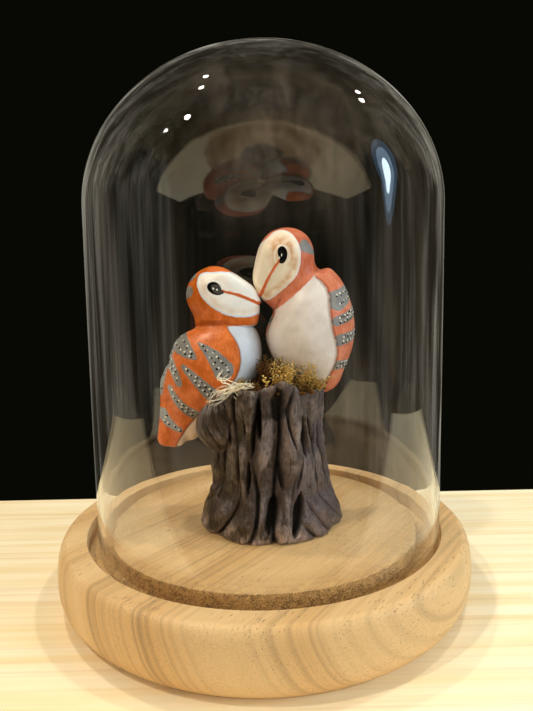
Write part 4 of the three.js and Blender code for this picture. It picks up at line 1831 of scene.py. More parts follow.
@dataclass
class PaintedOwl:
    """One owl: a single skin over head, neck, body, wings and tail, with eyes and painted specks."""

    name: str
    body_at: LocalFrame
    head_at: LocalFrame
    form: BodyForm
    neck: TaperedRod
    spine: tuple[Vec, ...]
    stands_for: tuple[str, ...]
    eyes_for: dict[int, str] = field(default_factory=dict)
    neck_blend: float = 4.0
    vent_edge: tuple[float, float, float] | None = None
    head: HeadForm = HeadForm()
    head_blend: float = 1.2
    eye: Eye = Eye()
    specks: Specks = Specks()
    blush: float = 0.5
    blush_low: float = 0.5
    rings: int = 330
    sides: int = 208
    fan: int = 54
    carving: float = 0.14
    seed: int = 3
    paint: OwlPaint = OwlPaint()
    eye_paint: EyePaint = EyePaint()

    def trunk_distance(self, points: Array) -> Array:
        """The body, kept under the collar's roof, joined to the neck.

        Args:
            points: points of the model.

        Returns:
            The distance at each point, below 0 inside.
        """
        roof = self.head.above_roof(self.head_at.local(points))
        body = trim(self.form.distance(self.body_at.local(points)), roof, self.head.roof_blend)
        return blend(body, self.neck.distance(points), self.neck_blend)

    def distance(self, points: Array) -> Array:
        """The head joined to the trunk with a tight crease."""
        head = self.head.distance(self.head_at.local(points))
        return blend(head, self.trunk_distance(points), self.head_blend)

    @staticmethod
    def meet(form: object, start: Array, way: Array, steps: int = 46) -> Array:
        """Walks out along each way by a share of the form's distance until it meets the surface.

        Args:
            form: gives the distance at points.
            start: where each walk starts.
            way: its direction.
            steps: how many steps it takes.

        Returns:
            Where each walk ends.
        """
        reach = np.zeros(start.shape[:-1])
        for _ in range(steps):
            reach = reach - WALK_SHARE * form(start + reach[..., None] * way)
        return start + reach[..., None] * way

    def skin_grid(self) -> tuple[Array, Array, Array]:
        """Rays square to the spine, evenly placed by arc length, which fan out to the poles at its ends.

        Returns:
            The grid of points where they meet the surface, and the first and last points.
        """
        knots = np.array(self.spine)
        fine, _ = smooth_path(knots, np.linspace(0, 1, 801))
        run = np.concatenate([[0], np.cumsum(np.linalg.norm(np.diff(fine, axis=0), axis=1))])
        ring = np.arange(1, self.rings)
        share = np.clip((ring - self.fan) / (self.rings - 2 * self.fan), 0, 1)
        low, high = np.maximum(self.fan - ring, 0), np.maximum(ring - self.rings + self.fan, 0)
        tip = np.concatenate([[-1.0], (high - low) / self.fan, [1.0]]) * math.pi / 2
        share = np.concatenate([[0.0], share, [1.0]])
        at, tangent = smooth_path(knots, np.interp(share * run[-1], run, np.linspace(0, 1, 801)))
        side = unit(np.array([0.0, 1.0, 0.0]) - tangent[:, 1:2] * tangent)
        way = rings_about(np.cross(side, tangent), side, self.sides)
        way = way * np.cos(tip)[:, None, None] + tangent[:, None] * np.sin(tip)[:, None, None]
        points = self.meet(self.distance, np.broadcast_to(at[:, None], way.shape), way)
        rng = np.random.default_rng(self.seed)
        u = np.broadcast_to(np.arange(self.sides) / self.sides, points.shape[:2])
        v = np.broadcast_to((np.arange(self.rings + 1) / self.rings)[:, None], points.shape[:2])
        facets = smooth_noise(u, v, (16, 15), rng) * np.cos(tip)[:, None]
        points = points + way * (facets * self.carving)[..., None]
        return points[1:-1], points[0, :1], points[-1, :1]

    def fields(self, points: Array) -> dict[str, Array]:
        """Signed distances to each painted field, and the soft masks that the paint reads.

        Args:
            points: places on the skin.

        Returns:
            One value for each place under each name.
        """
        body, head = self.body_at.local(points), self.head_at.local(points)
        (body_x, _, body_z), (head_x, _, head_z) = body.T, head.T
        owner = self.head.collar - head_z
        joint = np.abs(self.head.distance(head) - self.trunk_distance(points))
        wing = self.form.wing.distance(body)
        leaves = np.min([leaf.distance(body_x, body_z) for leaf in self.form.leaves], axis=0)
        patches = np.min([leaf.distance(head_x, head_z) for leaf in self.head.patches], axis=0)
        pale = np.maximum(-wing, -owner)
        if self.vent_edge is not None:
            x, z, slope = self.vent_edge
            pale = np.maximum(pale, x + slope * (body_z - z) - body_x)
        face = np.maximum(self.head.face_distance(head), owner)
        x, z = rotated(head_x - self.eye.at[0], head_z - self.eye.at[1], self.eye.tilt)
        round_eye = np.hypot(x, 1.3 * z)
        above = self.head.line_height(head_x) - head_z < 0
        forehead = bell(round_eye - 6.0, 3.5) * above * smoothstep(10, 2, head_x)
        halo = bell(round_eye - 4.6, 0.55)
        behind = bell(round_eye - 5.5, 2.4) * ~above * smoothstep(3.0, -1.0, head_x)
        cheek = bell(self.head.face_distance(head) + 2.6, 1.6) * smoothstep(-1.0, -5.0, head_z)
        golden = np.where(owner < 0, smoothstep(2.0, -8.0, head_x),
                          0.8 * bell(np.hypot(body_x + 10.0, body_z + 5.0), 12.0))
        return {
            "face": face,
            "line": self.head.line_distance(head),
            "grey": np.minimum(np.maximum(leaves, -owner), np.maximum(patches, owner)),
            "pale": pale,
            "blush": np.clip(self.blush * (forehead + behind) + self.blush_low * cheek - halo, 0, 1),
            "golden": golden,
            # Under the tail: where the paler pinkish paint, partly painted light, goes.
            "vent": smoothstep(-14.0, -20.0, body_z) * (self.vent_edge is not None),
            # Painted highlight along the back, read by the grey.
            "sheen_highlight": smoothstep(-14.0, -22.0, body_x) * (owner > 0),
            # Nearness to the collar joint and the wing edges, for the painted crease shade.
            "crease_paint_and_shade": np.minimum(np.maximum(joint, np.abs(owner) - 2.5),
                                 np.abs(np.where(owner > 0, wing, 9.0))),
        }

    def build(self) -> None:
        """Skins the owl, then adds its eyes and specks."""
        grid, first, last = self.skin_grid()
        skin = closed_skin(f"{self.name}_skin", grid, first, last)
        tell(skin, **self.fields(np.vstack([grid.reshape(-1, 3), first, last])))
        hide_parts(*self.stands_for)
        set_up(skin, self.paint.dress(), Body.BASE)
        for side in (1, -1):
            self.add_eye(side)
        self.add_specks()

    def add_eye(self, side: int) -> None:
        """A flattened ellipsoid whose middle lies under the cheek, tilted in side view and turned to lie
        on the cheek's plane.

        Args:
            side: +1 for the left eye and -1 for the right.
        """
        eye = self.eye
        start = np.array([[eye.at[0], 0.0, eye.at[1]]])
        seat = self.meet(self.head.distance, start, np.array([[0.0, float(side), 0.0]]), 60)[0]
        _, rise, lens = ball(eye.around, eye.up)
        groove = eye.groove * bell(np.hypot(lens[..., 0], lens[..., 1]) - 0.6, 0.03) * (rise > 0)
        lens = lens * np.array([*eye.half, eye.depth])
        lens[..., 2] -= groove
        shape = np.vstack([lens.reshape(-1, 3), [[0, 0, -eye.depth], [0, 0, eye.depth]]])
        x, z = rotated(shape[:, 0], shape[:, 1], -eye.tilt)
        front, out = rotated(x, shape[:, 2] * side, -side * self.head.cheek_turn)
        sunk = np.array([0, side * (eye.depth - eye.proud), 0])
        points = self.head_at.world(np.stack([front, out, z], -1) + seat - sunk)
        rings = points[:-2].reshape(eye.up, eye.around, 3)[:, ::-side]
        piece = closed_skin(f"{self.name}_{'left' if side > 0 else 'right'}_painted_eye", rings,
                            points[-2:-1], points[-1:])
        tell(piece, disc=np.hypot(shape[:, 0] / eye.half[0], shape[:, 1] / eye.half[1]),
             glint=np.min([g.distance(x, z) for g in eye.glints], axis=0))
        if side in self.eyes_for:
            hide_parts(self.eyes_for[side])
        set_up(piece, self.eye_paint.dress(), Body.BASE)

    def add_specks(self) -> None:
        """Sets pairs of low domes on the skin, at both sides of the owl, dark and pale in one mesh each."""
        rng = np.random.default_rng(self.seed + 40)
        sites: list[Array] = []
        for leaf in self.form.leaves:
            for side in (1, -1):
                x, z, turn = self.specks.rows_on(leaf, rng)
                sites.append(np.stack([x, np.full_like(x, side), z, turn], -1))
        x, sides, z, turn = np.vstack(sites).T
        turn = np.where(rng.random(len(turn)) < 0.7, rng.normal(-0.8, 0.35, len(turn)), turn)
        for name, sign, tones in (("dark", 0.5, DARK_SPECKS), ("pale", -0.5, PALE_SPECKS)):
            off_x, off_z = (circle(turn) * self.specks.gap * sign).T
            self.speck_mesh(f"{self.name}_{name}_specks", x + off_x, sides, z + off_z, tones, rng)

    def speck_mesh(self, name: str, x: Array, side: Array, z: Array, finish: SpeckPaint,
                   rng: Rng) -> None:
        """Walks out from (x, 0, z) to the skin on each side and lays a dome of three rings there.

        Args:
            name: the piece's name.
            x: each dot's place to the front, in the body's frame.
            side: +1 or -1 for the side that it lies on.
            z: each dot's height.
            finish: its paint.
            rng: where sizes come from.
        """
        start = np.stack([x, np.zeros_like(x), z], -1)
        inside = self.form.distance(start) < -1.0
        start, side = self.body_at.world(start[inside]), side[inside, None]
        way = side * np.array([0.0, 1.0, 0.0]) @ self.body_at.axes.T
        at = self.meet(self.distance, start, way, 90)
        step = np.eye(3) * 0.02
        up = unit(np.stack([self.distance(at + e) - self.distance(at - e) for e in step], -1))
        on_trunk = self.head.distance(self.head_at.local(at)) > self.trunk_distance(at) + 0.3
        steep = np.abs(np.sum(up * way, axis=-1)) > 0.2
        at, up = at[on_trunk & steep], up[on_trunk & steep]
        if not len(at):
            return
        across = unit(np.cross(up, np.array([0.3, 0.2, 0.9])))
        other = np.cross(up, across)
        count, sides = len(at), self.specks.sides
        size = self.specks.radius * rng.uniform(0.8, 1.2, count)
        flat = rings_about(across, other, sides) * size[:, None, None]
        centre, rise = at[:, None], up[:, None] * self.specks.height
        rings = [centre + flat * share + rise * lift for share, lift in self.specks.rings]
        points = np.concatenate([*rings, centre - rise * 0.5, centre + rise], axis=1)
        piece = mesh_of_parts(name, points, grid_faces(len(rings), sides), tube_ends(len(rings), sides))
        tell(piece, tone=np.repeat(rng.random(count), points.shape[1]))
        set_up(piece, finish.dress(), Body.BASE)


DARK_SPECKS = SpeckPaint("Dark speck paint")
PALE_SPECKS = SpeckPaint("Pale speck paint", low=srgb(206, 198, 180), high=srgb(244, 238, 222))

LEANING_OWL = PaintedOwl(
    name="leaning_owl",
    body_at=LocalFrame((-24.5, 3, 107)),
    head_at=LocalFrame((-18.9, 1, 142), yaw=-7),
    form=BodyForm(
        egg=Ellipsoid((0, 0, -2), (22, 20.3, 26.8), 19),
        breast=Ellipsoid((9.5, 0, 8), (14.2, 16, 17)), breast_blend=8,
        tail=RoundedBox((-19.3, 0, -22.9), (6.6, 9, 16.8), 3.4, 7.5), tail_blend=9,
        vent=Ellipsoid((-12.5, 0, -28), (7.5, 8.5, 10.5)), vent_blend=3,
        wing=Wing((-2.8, 4.5), 17.6, (-24.5, -35.5), 3.5),
        leaves=(
            Leaf((-4.8, 12.2), (6.6, -0.4), (0.3, 4.9), 1.0),
            Leaf((-12.3, 1.0), (0.3, -11.6), (1.2, 3.3), 0.2),
            Leaf((-20.0, -9.2), (-8.6, -22.6), (1.2, 2.9), -1.6),
            Leaf((-24.6, -22.5), (-16.3, -31.0), (3.0, 1.4), -1.0),
            Leaf((-11.5, 24.0), (-25.6, -12.0), (3.2, 1.7), -2.6),
            Leaf((-6.2, 5.2), (-15.5, 13.0), (0.8, 5.6), 0.4),
            Leaf((-14.8, -6.9), (-21.2, 4.0), (1.8, 2.6), -0.4),
        ),
    ),
    neck=TaperedRod((-20, 2, 122), (-19, 1, 138), (10.5, 13)),
    spine=((-46.5, 3, 74), (-41, 3, 88), (-26, 3, 107), (-20, 2, 126), (-18.5, 1, 142)),
    stands_for=("leaning_owl_head", "leaning_owl_trunk", "leaning_owl_left_wing",
                "leaning_owl_right_wing", "leaning_owl_tail"),
    eyes_for={1: "leaning_owl_left_eye", -1: "leaning_owl_right_eye"},
    vent_edge=(-13.5, -24.0, 0.384),
    blush=0.35,
    blush_low=0.4,
    seed=3,
)

UPRIGHT_OWL = PaintedOwl(
    name="upright_owl",
    body_at=LocalFrame((24.6, 4, 124), yaw=240),
    head_at=LocalFrame((10.4, 2.5, 157.8), yaw=188, pitch=42),
    form=BodyForm(
        egg=Ellipsoid((-3, 0, 4), (19, 19.5, 28.6)),
        breast=Ellipsoid((1, 0, -1), (20.8, 21.2, 25.5)), breast_blend=5,
        tail=RoundedBox((-9.5, 0, -18), (6.5, 9, 12), 4, 6), tail_blend=14,
        vent=Ellipsoid((-4.5, 0, -20), (9, 9, 9.5)), vent_blend=8,
        wing=Wing((-8, 4), 21.0, (-12, -24), 14.5),
        leaves=(
            Leaf((8.6, 13.4), (-12.0, 20.0), (4.4, 3.2)),
            Leaf((11.0, 4.0), (-14.0, 10.6), (2.2, 2.4)),
            Leaf((9.5, -5.0), (-15.0, -0.8), (2.9, 2.5)),
            Leaf((6.0, -17.3), (-14.0, -17.6), (2.5, 2.1)),
        ),
    ),
    neck=TaperedRod((20, 4, 139), (14.5, 3, 155), (13.5, 12.5)),
    spine=((27, 8, 101), (26, 6, 110), (24.6, 4, 124), (19.5, 4, 143), (10.5, 2.5, 157)),
    stands_for=("upright_owl",),
    head=HeadForm(ruff_centre=4.4, ruff_half=(14.6, 11.8), face_at=(5.0, 1.0), face_half=(17.4, 11.3),
                  face_top=12.8, face_low=-10.2,
                  patches=(Leaf((-13.6, -8.2), (-11.6, -2.4), (0.8, 3.2)),)),
    eye=Eye(half=(4.4, 2.7), tilt=46, glints=(Leaf((-0.66, 0.88), (0.0, 0.14), (0.2, 0.24)),
                                             Leaf((-0.5, -0.8), (-0.05, -1.3), (0.2, 0.22)))),
    blush=1.0,
    blush_low=0.9,
    seed=5,
    paint=OwlPaint("Painted owl, paler", golden=srgb(188, 92, 56), deep_orange=srgb(194, 96, 58),
                   orange=srgb(214, 122, 86), bright_orange=srgb(234, 164, 136),
                   white=srgb(234, 222, 212), warm_white=srgb(200, 180, 164), cream=srgb(252, 236, 208),
                   tan=srgb(206, 138, 74)),
    eye_paint=EyePaint("Glossy black eye", ring_share=0.12, pupil=srgb(12, 12, 13)),
)


# ---- moss and straw


def joined_tubes(name: str, paths: Array, radii: Array, sides: int) -> Piece:
    """Many round fibres in one mesh: a ring of sides points square to each path at each of its points.

    Args:
        name: the piece's name.
        paths: (fibres, points, 3).
        radii: (fibres, points).
        sides: points round each fibre.

    Returns:
        The joined mesh, with a patch map of one patch for each fibre.
    """
    count, steps = radii.shape
    tangent = unit(np.gradient(paths, axis=1))
    first = unit(np.cross(tangent, np.array([0.31, 0.17, 0.93])))
    second = np.cross(tangent, first)
    rings = paths[:, :, None] + rings_about(first, second, sides) * radii[:, :, None, None]
    foot = paths[:, 0] - tangent[:, 0] * radii[:, :1]
    tip = paths[:, -1] + tangent[:, -1] * radii[:, -1:]
    points = np.concatenate([rings.reshape(count, -1, 3), np.stack([foot, tip], 1)], axis=1)
    piece = mesh_of_parts(name, points, grid_faces(steps, sides), tube_ends(steps, sides))
    along = np.concatenate([np.repeat(np.linspace(0, 1, steps), sides), [0, 1]])
    around = np.concatenate([np.tile(np.arange(sides) / sides, steps), [0.5, 0.5]])
    patch_map(piece, count, along, around)
    return piece


@dataclass(frozen=True)
class Clump:
    """Fronds that grow together: where, how widely, how many, how long, how light and how splayed."""

    at: Pair
    spread: float
    count: int
    length: Pair
    tone: float = 0.45
    splay: float = 0.4


@dataclass
class MossBed:
    """Dried moss on the stump's top: a lumpy bed painted dark as shade, clumps of fronds with leaflets, thin
    stalks.
    """

    at: Vec = (4.0, -2.0, 95.2)
    radii: Pair = (24.5, 21.0)
    rise: float = 2.6
    clumps: tuple[Clump, ...] = (
        Clump((4.0, -2.0), 11.5, 380, (2.0, 3.6), 0.04, 0.6),
        Clump((3.6, -8.5), 1.9, 80, (9.0, 15.5), 0.26, 0.16),
        Clump((9.6, -19.0), 1.5, 44, (8.5, 15.0), 1.0, 0.24),
        Clump((20.6, -16.5), 0.5, 9, (9.0, 14.5), 0.95, 0.1),
        Clump((25.0, -13.2), 0.5, 8, (9.0, 14.0), 0.6, 0.12),
        Clump((24.2, -13.8), 1.5, 46, (4.5, 9.0), 0.85, 0.45),
        Clump((14.6, -20.0), 1.6, 34, (3.0, 5.5), 0.3, 0.5),
        Clump((20.0, -16.8), 1.4, 30, (3.0, 6.0), 0.4, 0.5),
        Clump((-4.0, -18.5), 1.8, 36, (2.6, 5.0), 0.1, 0.5),
        Clump((-10.5, -15.5), 1.6, 36, (3.0, 6.5), 0.7, 0.4),
        Clump((-5.0, 14.0), 4.5, 130, (3.5, 9.0), 0.5, 0.4),
        Clump((13.0, 15.0), 4.5, 130, (3.5, 10.0), 0.7, 0.4),
        Clump((25.0, 4.0), 3.0, 60, (3.0, 7.0), 0.4, 0.4),
    )
    hollows: tuple[tuple[float, ...], ...] = (
        (0.8, -15.5, 3.6, 5.5), (7.4, -15.5, 2.2, 4.5), (16.8, -15.0, 2.4, 4.0),
    )
    stalk_feet: tuple[Vec, ...] = (
        (25.4, -13.6, 97.5), (20.8, -16.6, 97.5), (12.5, -20.0, 97.5),
        (4.6, -19.0, 97.5), (26.0, -11.5, 97.5), (24.0, -15.0, 97.5),
    )
    lean: float = 0.1
    bed_rows: int = 62
    bed_around: int = 200
    bed_depth: float = 0.6
    leaflets: int = 13
    leaflet_size: Pair = (0.32, 0.5)
    leaflet_half: float = 0.28
    stem_places: Vec = (0.0, 0.35, 0.7)
    stem_radii: Vec = (0.17, 0.14, 0.1)
    seed: int = 21
    finish: MossFinish = MossFinish()

    def height(self, x: Array, y: Array) -> Array:
        """A low mound (1 - r^2)^0.7 high, with lumps, dropping 2.5 mm at each hollow (x, y, half sizes).

        Args:
            x: places to the right.
            y: places to the back.

        Returns:
            The bed's height at each.
        """
        u, v = (x - self.at[0]) / self.radii[0], (y - self.at[1]) / self.radii[1]
        mound = np.clip(1 - u * u - v * v, 0, 1) ** 0.7
        lumps = 0.9 * np.sin(0.9 * x + 1.3 * np.sin(0.6 * y)) * np.sin(0.8 * y + 1.1 * np.sin(0.7 * x))
        dips = sum(bell(np.hypot((x - at_x) / wide, (y - at_y) / deep), 1.0)
                   for at_x, at_y, wide, deep in self.hollows)
        return self.at[2] + 0.5 + self.rise * mound + (lumps - 2.5 * dips) * np.sqrt(mound)

    def bed(self) -> None:
        """A closed disc whose top follows the mound, with fine lumps."""
        rng = np.random.default_rng(self.seed)
        share = np.linspace(0, 1, self.bed_rows)[1:, None]
        turn = turns(self.bed_around)[None]
        wobble = 1 + 0.05 * np.sin(5 * turn + 1) + 0.04 * np.sin(11 * turn)
        x = self.at[0] + self.radii[0] * share * wobble * np.cos(turn)
        y = self.at[1] + self.radii[1] * share * wobble * np.sin(turn)
        rough = smooth_noise(*np.broadcast_arrays(turn / TURN, share), (90, 30), rng)
        top = np.stack([x, y, self.height(x, y) + 0.45 * rough], -1)[::-1]
        foot = np.array(self.at) - np.array([0, 0, self.bed_depth])
        under = top[0] * np.array([1, 1, 0]) + foot * np.array([0, 0, 1])
        middle = np.array([*self.at[:2], self.height(*np.array(self.at[:2]))])
        bed = closed_skin("moss_bed", np.concatenate([under[None], top]), foot[None], middle[None])
        count = len(bed.data.vertices)
        # The bed reads as the foot of a frond: painted dark as shade under the fronds.
        tell(bed, tone=rng.random(count) * 0.3, along=np.full(count, 0.05))
        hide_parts("moss")
        set_up(bed, self.finish.dress(), Body.BASE)

    def scatter(self, owls: tuple[PaintedOwl, ...], rng: Rng) -> tuple[Array, ...]:
        """Roots, first directions, lengths and tones of every clump's fronds, kept off the owls.

        Args:
            owls: what the fronds keep off.
            rng: where the scatter comes from.

        Returns:
            One row of each for every frond that is kept.
        """
        parts: list[tuple[Array, ...]] = []
        for clump in self.clumps:
            away = rng.normal(0, 1, (clump.count, 2))
            x, y = (np.array(clump.at) + away * clump.spread).T
            tilt = rng.normal(0, clump.splay, (clump.count, 3))
            tilt += np.column_stack([away * 0.18, np.ones(clump.count)])
            tilt[:, 1] -= self.lean
            tilt[:, 2] = np.abs(tilt[:, 2]) + 0.1
            tone = np.clip(clump.tone + rng.normal(0, 0.16, clump.count), 0, 1)
            parts.append((np.stack([x, y, self.height(x, y) - 0.5], -1), unit(tilt),
                          rng.uniform(*clump.length, clump.count), tone))
        root, way, length, tone = (np.concatenate(column) for column in zip(*parts))
        u, v = (root[:, 0] - self.at[0]) / self.radii[0], (root[:, 1] - self.at[1]) / self.radii[1]
        tip = root + way * length[:, None]
        keep = np.hypot(u, v) < 1.08
        for x, y, wide, deep in self.hollows:
            keep &= np.hypot((root[:, 0] - x) / wide, (root[:, 1] - y) / deep) > 1
        for owl in owls:
            for spot, gap in ((root, 0.3), ((root + tip) / 2, 0.4), (tip, 0.6)):
                keep &= owl.distance(spot) > gap
        return root[keep], way[keep], length[keep], tone[keep]

    def frond_mesh(self, root: Array, way: Array, length: Array, tone: Array, rng: Rng) -> None:
        """Fronds: each a bent three-sided stem, root + L(s way + k s^2 bend), with thin four-cornered
        leaflets that turn round it by the golden angle and shorten to its tip.

        Args:
            root: where each frond starts.
            way: its first direction.
            length: its length.
            tone: how light it is, from 0 to 1.
            rng: where bends and leaflets come from.
        """
        count = len(root)
        bend = unit(np.cross(way, rng.normal(0, 1, (count, 3))))
        sag = rng.uniform(-0.1, 0.45, count)

        def stem(s: Array) -> tuple[Array, Array]:
            """Points and directions at shares s along every stem.

            Args:
                s: shares of the way up.

            Returns:
                The points and their directions.
            """
            at = root[:, None] + length[:, None, None] * (
                s[:, None] * way[:, None] + (sag[:, None] * s**2)[..., None] * bend[:, None])
            return at, unit(way[:, None] + 2 * (sag[:, None] * s)[..., None] * bend[:, None])

        def square(along: Array) -> tuple[Array, Array]:
            """Two directions square to each direction along the stems, and to each other."""
            first = unit(np.cross(along, bend[:, None] + 0.01))
            return first, np.cross(along, first)

        at, along = stem(np.array(self.stem_places))
        rings = at[:, :, None] + rings_about(*square(along), 3) * np.array(self.stem_radii)[:, None, None]
        tips, _ = stem(np.array([1.0]))
        s = 0.12 + 0.84 * np.arange(self.leaflets) / (self.leaflets - 1)
        base, along = stem(s)
        first, second = square(along)
        spin = np.arange(self.leaflets) * GOLDEN_TURN + rng.uniform(0, TURN, count)[:, None]
        out = first * np.cos(spin)[..., None] + second * np.sin(spin)[..., None]
        leaf_way = unit(along * 0.6 + out * rng.uniform(0.6, 1.3, (count, self.leaflets))[..., None])
        size = (np.clip(length, 4, 7) * rng.uniform(*self.leaflet_size, count))[:, None] * (1.05 - 0.55 * s)
        size = size[..., None]
        wide = unit(np.cross(leaf_way, out + along * 0.1))
        middle = base + leaf_way * size * 0.4 + np.cross(leaf_way, wide) * size * 0.1
        half = wide * size * self.leaflet_half
        leaf = np.stack([base, base + leaf_way * size, middle + half, middle - half], 2)
        points = [rings.reshape(count, 9, 3), at[:, :1], tips, leaf.reshape(count, -1, 3)]
        leaf_faces = np.array([[0, 2, 1], [0, 1, 3], [0, 3, 2], [1, 2, 3]])
        leaf_faces = (leaf_faces + 11 + 4 * np.arange(self.leaflets)[:, None, None]).reshape(-1, 3)
        piece = mesh_of_parts("moss_fronds", np.concatenate(points, axis=1), grid_faces(3, 3),
                              np.vstack([tube_ends(3, 3), leaf_faces]))
        share = np.repeat(s, 4) * 0.75 + 0.25 * np.tile([0, 1, 0.5, 0.5], self.leaflets)
        share = np.concatenate([np.repeat(self.stem_places, 3), [0, 1], share])
        around = np.tile([0.5, 0.5, 0.2, 0.8], self.leaflets)
        around = np.concatenate([np.tile([0, 0.4, 0.8], 3), [0.4, 0.4], around])
        tell(piece, tone=np.repeat(tone, len(share)), along=np.tile(share, count))
        patch_map(piece, count, share, around)
        set_up(piece, self.finish.dress(), Body.BASE)

    def stalks(self, rng: Rng) -> None:
        """Thin bent stalks with a small spore capsule: the radius swells as a bell near the top.

        Args:
            rng: where their lean comes from.
        """
        root = np.array(self.stalk_feet)
        size = len(root)
        rise = np.column_stack([rng.uniform(-2.5, 2.5, (size, 2)), rng.uniform(8, 13, size)])
        s = np.linspace(0, 1, 18)
        bow = rng.normal(0, 1.2, (size, 1, 3)) * (4 * s * (1 - s))[:, None]
        paths = root[:, None] + rise[:, None] * s[:, None] + bow
        radii = np.broadcast_to(0.13 + 0.28 * bell(s - 0.93, 0.06), paths.shape[:2])
        piece = joined_tubes("moss_stalks", paths, radii, 6)
        count = len(piece.data.vertices)
        tell(piece, tone=np.full(count, 0.7), along=np.full(count, 0.6))
        set_up(piece, self.finish.dress(), Body.BASE)

    def build(self, owls: tuple[PaintedOwl, ...]) -> None:
        """Makes the bed, the fronds and the stalks, clear of the owls.

        Args:
            owls: what the moss keeps clear of.
        """
        rng = np.random.default_rng(self.seed + 1)
        self.bed()
        self.frond_mesh(*self.scatter(owls, rng), rng)
        self.stalks(rng)


@dataclass
class Straw:
    """Pale straw fibres that spread from a hub at the stump's left rim."""

    hub: Vec = (-13.0, -22.0, 98.8)
    fans: tuple[tuple[Vec, float, int, float], ...] = (
        ((-25.0, -22.0, 91.0), 3.0, 9, 0.13), ((-20.0, -22.0, 103.6), 0.5, 3, 0.24),
        ((-3.4, -22.8, 99.2), 1.2, 6, 0.2), ((-19.5, -24.5, 96.5), 2.5, 9, 0.16),
        ((-8.0, -22.4, 100.4), 2.0, 8, 0.16), ((-12.0, -24.5, 95.5), 3.0, 3, 0.13),
        ((-8.0, -14.0, 100.5), 3.5, 6, 0.15),
    )
    tips: tuple[tuple[Vec, Vec], ...] = (
        ((-20.2, -22.0, 103.7), (-17.7, -21.5, 107.4)), ((-19.6, -22.0, 103.4), (-15.4, -21.5, 105.4)),
        ((-18.9, -22.0, 103.0), (-14.0, -21.8, 104.0)), ((-20.4, -22.0, 103.8), (-19.0, -21.6, 106.0)),
    )
    tip_radius: float = 0.22
    tip_scatter: float = 0.15
    steps: int = 16
    sides: int = 7
    hub_size: float = 1.0
    seed: int = 33
    finish: StrawFinish = StrawFinish()

    def build(self) -> None:
        """Each fibre runs from near the hub to a scattered end, bowed by 4s(1 - s) and waved a little."""
        rng = np.random.default_rng(self.seed)
        start, end, thick = [], [], []
        for towards, spread, count, radius in self.fans:
            start.append(np.array(self.hub) + rng.normal(0, self.hub_size, (count, 3)))
            end.append(np.array(towards) + rng.normal(0, spread * 0.5, (count, 3)))
            thick.append(np.full(count, radius))
        for near, far in self.tips:
            start.append(np.array([near]) + rng.normal(0, self.tip_scatter, (1, 3)))
            end.append(np.array([far]))
            thick.append(np.array([self.tip_radius]))
        start, end, thick = np.vstack(start), np.vstack(end), np.concatenate(thick)
        thick = thick * rng.uniform(0.7, 1.25, len(thick))
        s = np.linspace(0, 1, self.steps)
        length = np.linalg.norm(end - start, axis=1)[:, None, None]
        bow = rng.normal(0, 0.12, (len(start), 1, 3)) * length * (4 * s * (1 - s))[:, None]
        wave = rng.normal(0, 0.02, (len(start), 1, 3)) * length * np.sin(2.5 * TURN * s)[:, None]
        paths = start[:, None] + (end - start)[:, None] * s[:, None] + bow + wave
        radii = thick[:, None] * (1 - 0.55 * s**3)
        piece = joined_tubes("straw_fibres", paths, radii, self.sides)
        tell(piece, tone=np.repeat(rng.random(len(start)), self.steps * self.sides + 2))
        set_up(piece, self.finish.dress(), Body.BASE)


# ---- stage


@dataclass(frozen=True)
class Lamp:
    """An area light, by where it stands and what it aims at, in metres: round if it shows in the glass."""

    name: str
    at: Vec
    size: float
    power: float
    colour: tuple[float, float, float] = (1.0, 1.0, 1.0)
    aim: Vec = (0.0, 0.0, 0.1)
    tall: float = 1.0
    in_gloss: bool = False

    def build(self) -> None:
        """Makes the light, turned so that its -Z runs from it to its aim."""
        light = bpy.data.lights.new(self.name, "AREA")
        light.shape = "ELLIPSE" if self.in_gloss else "RECTANGLE"
        light.size, light.size_y = self.size, self.size * self.tall
        light.energy, light.color = self.power, self.colour
        lamp = bpy.data.objects.new(self.name, light)
        bpy.context.scene.collection.objects.link(lamp)
        lamp.location = self.at
        way = Vector(self.aim) - Vector(self.at)
        lamp.rotation_euler = way.to_track_quat("-Z", "Y").to_euler()
        lamp.visible_glossy = self.in_gloss
        lamp.visible_camera = lamp.visible_transmission = False


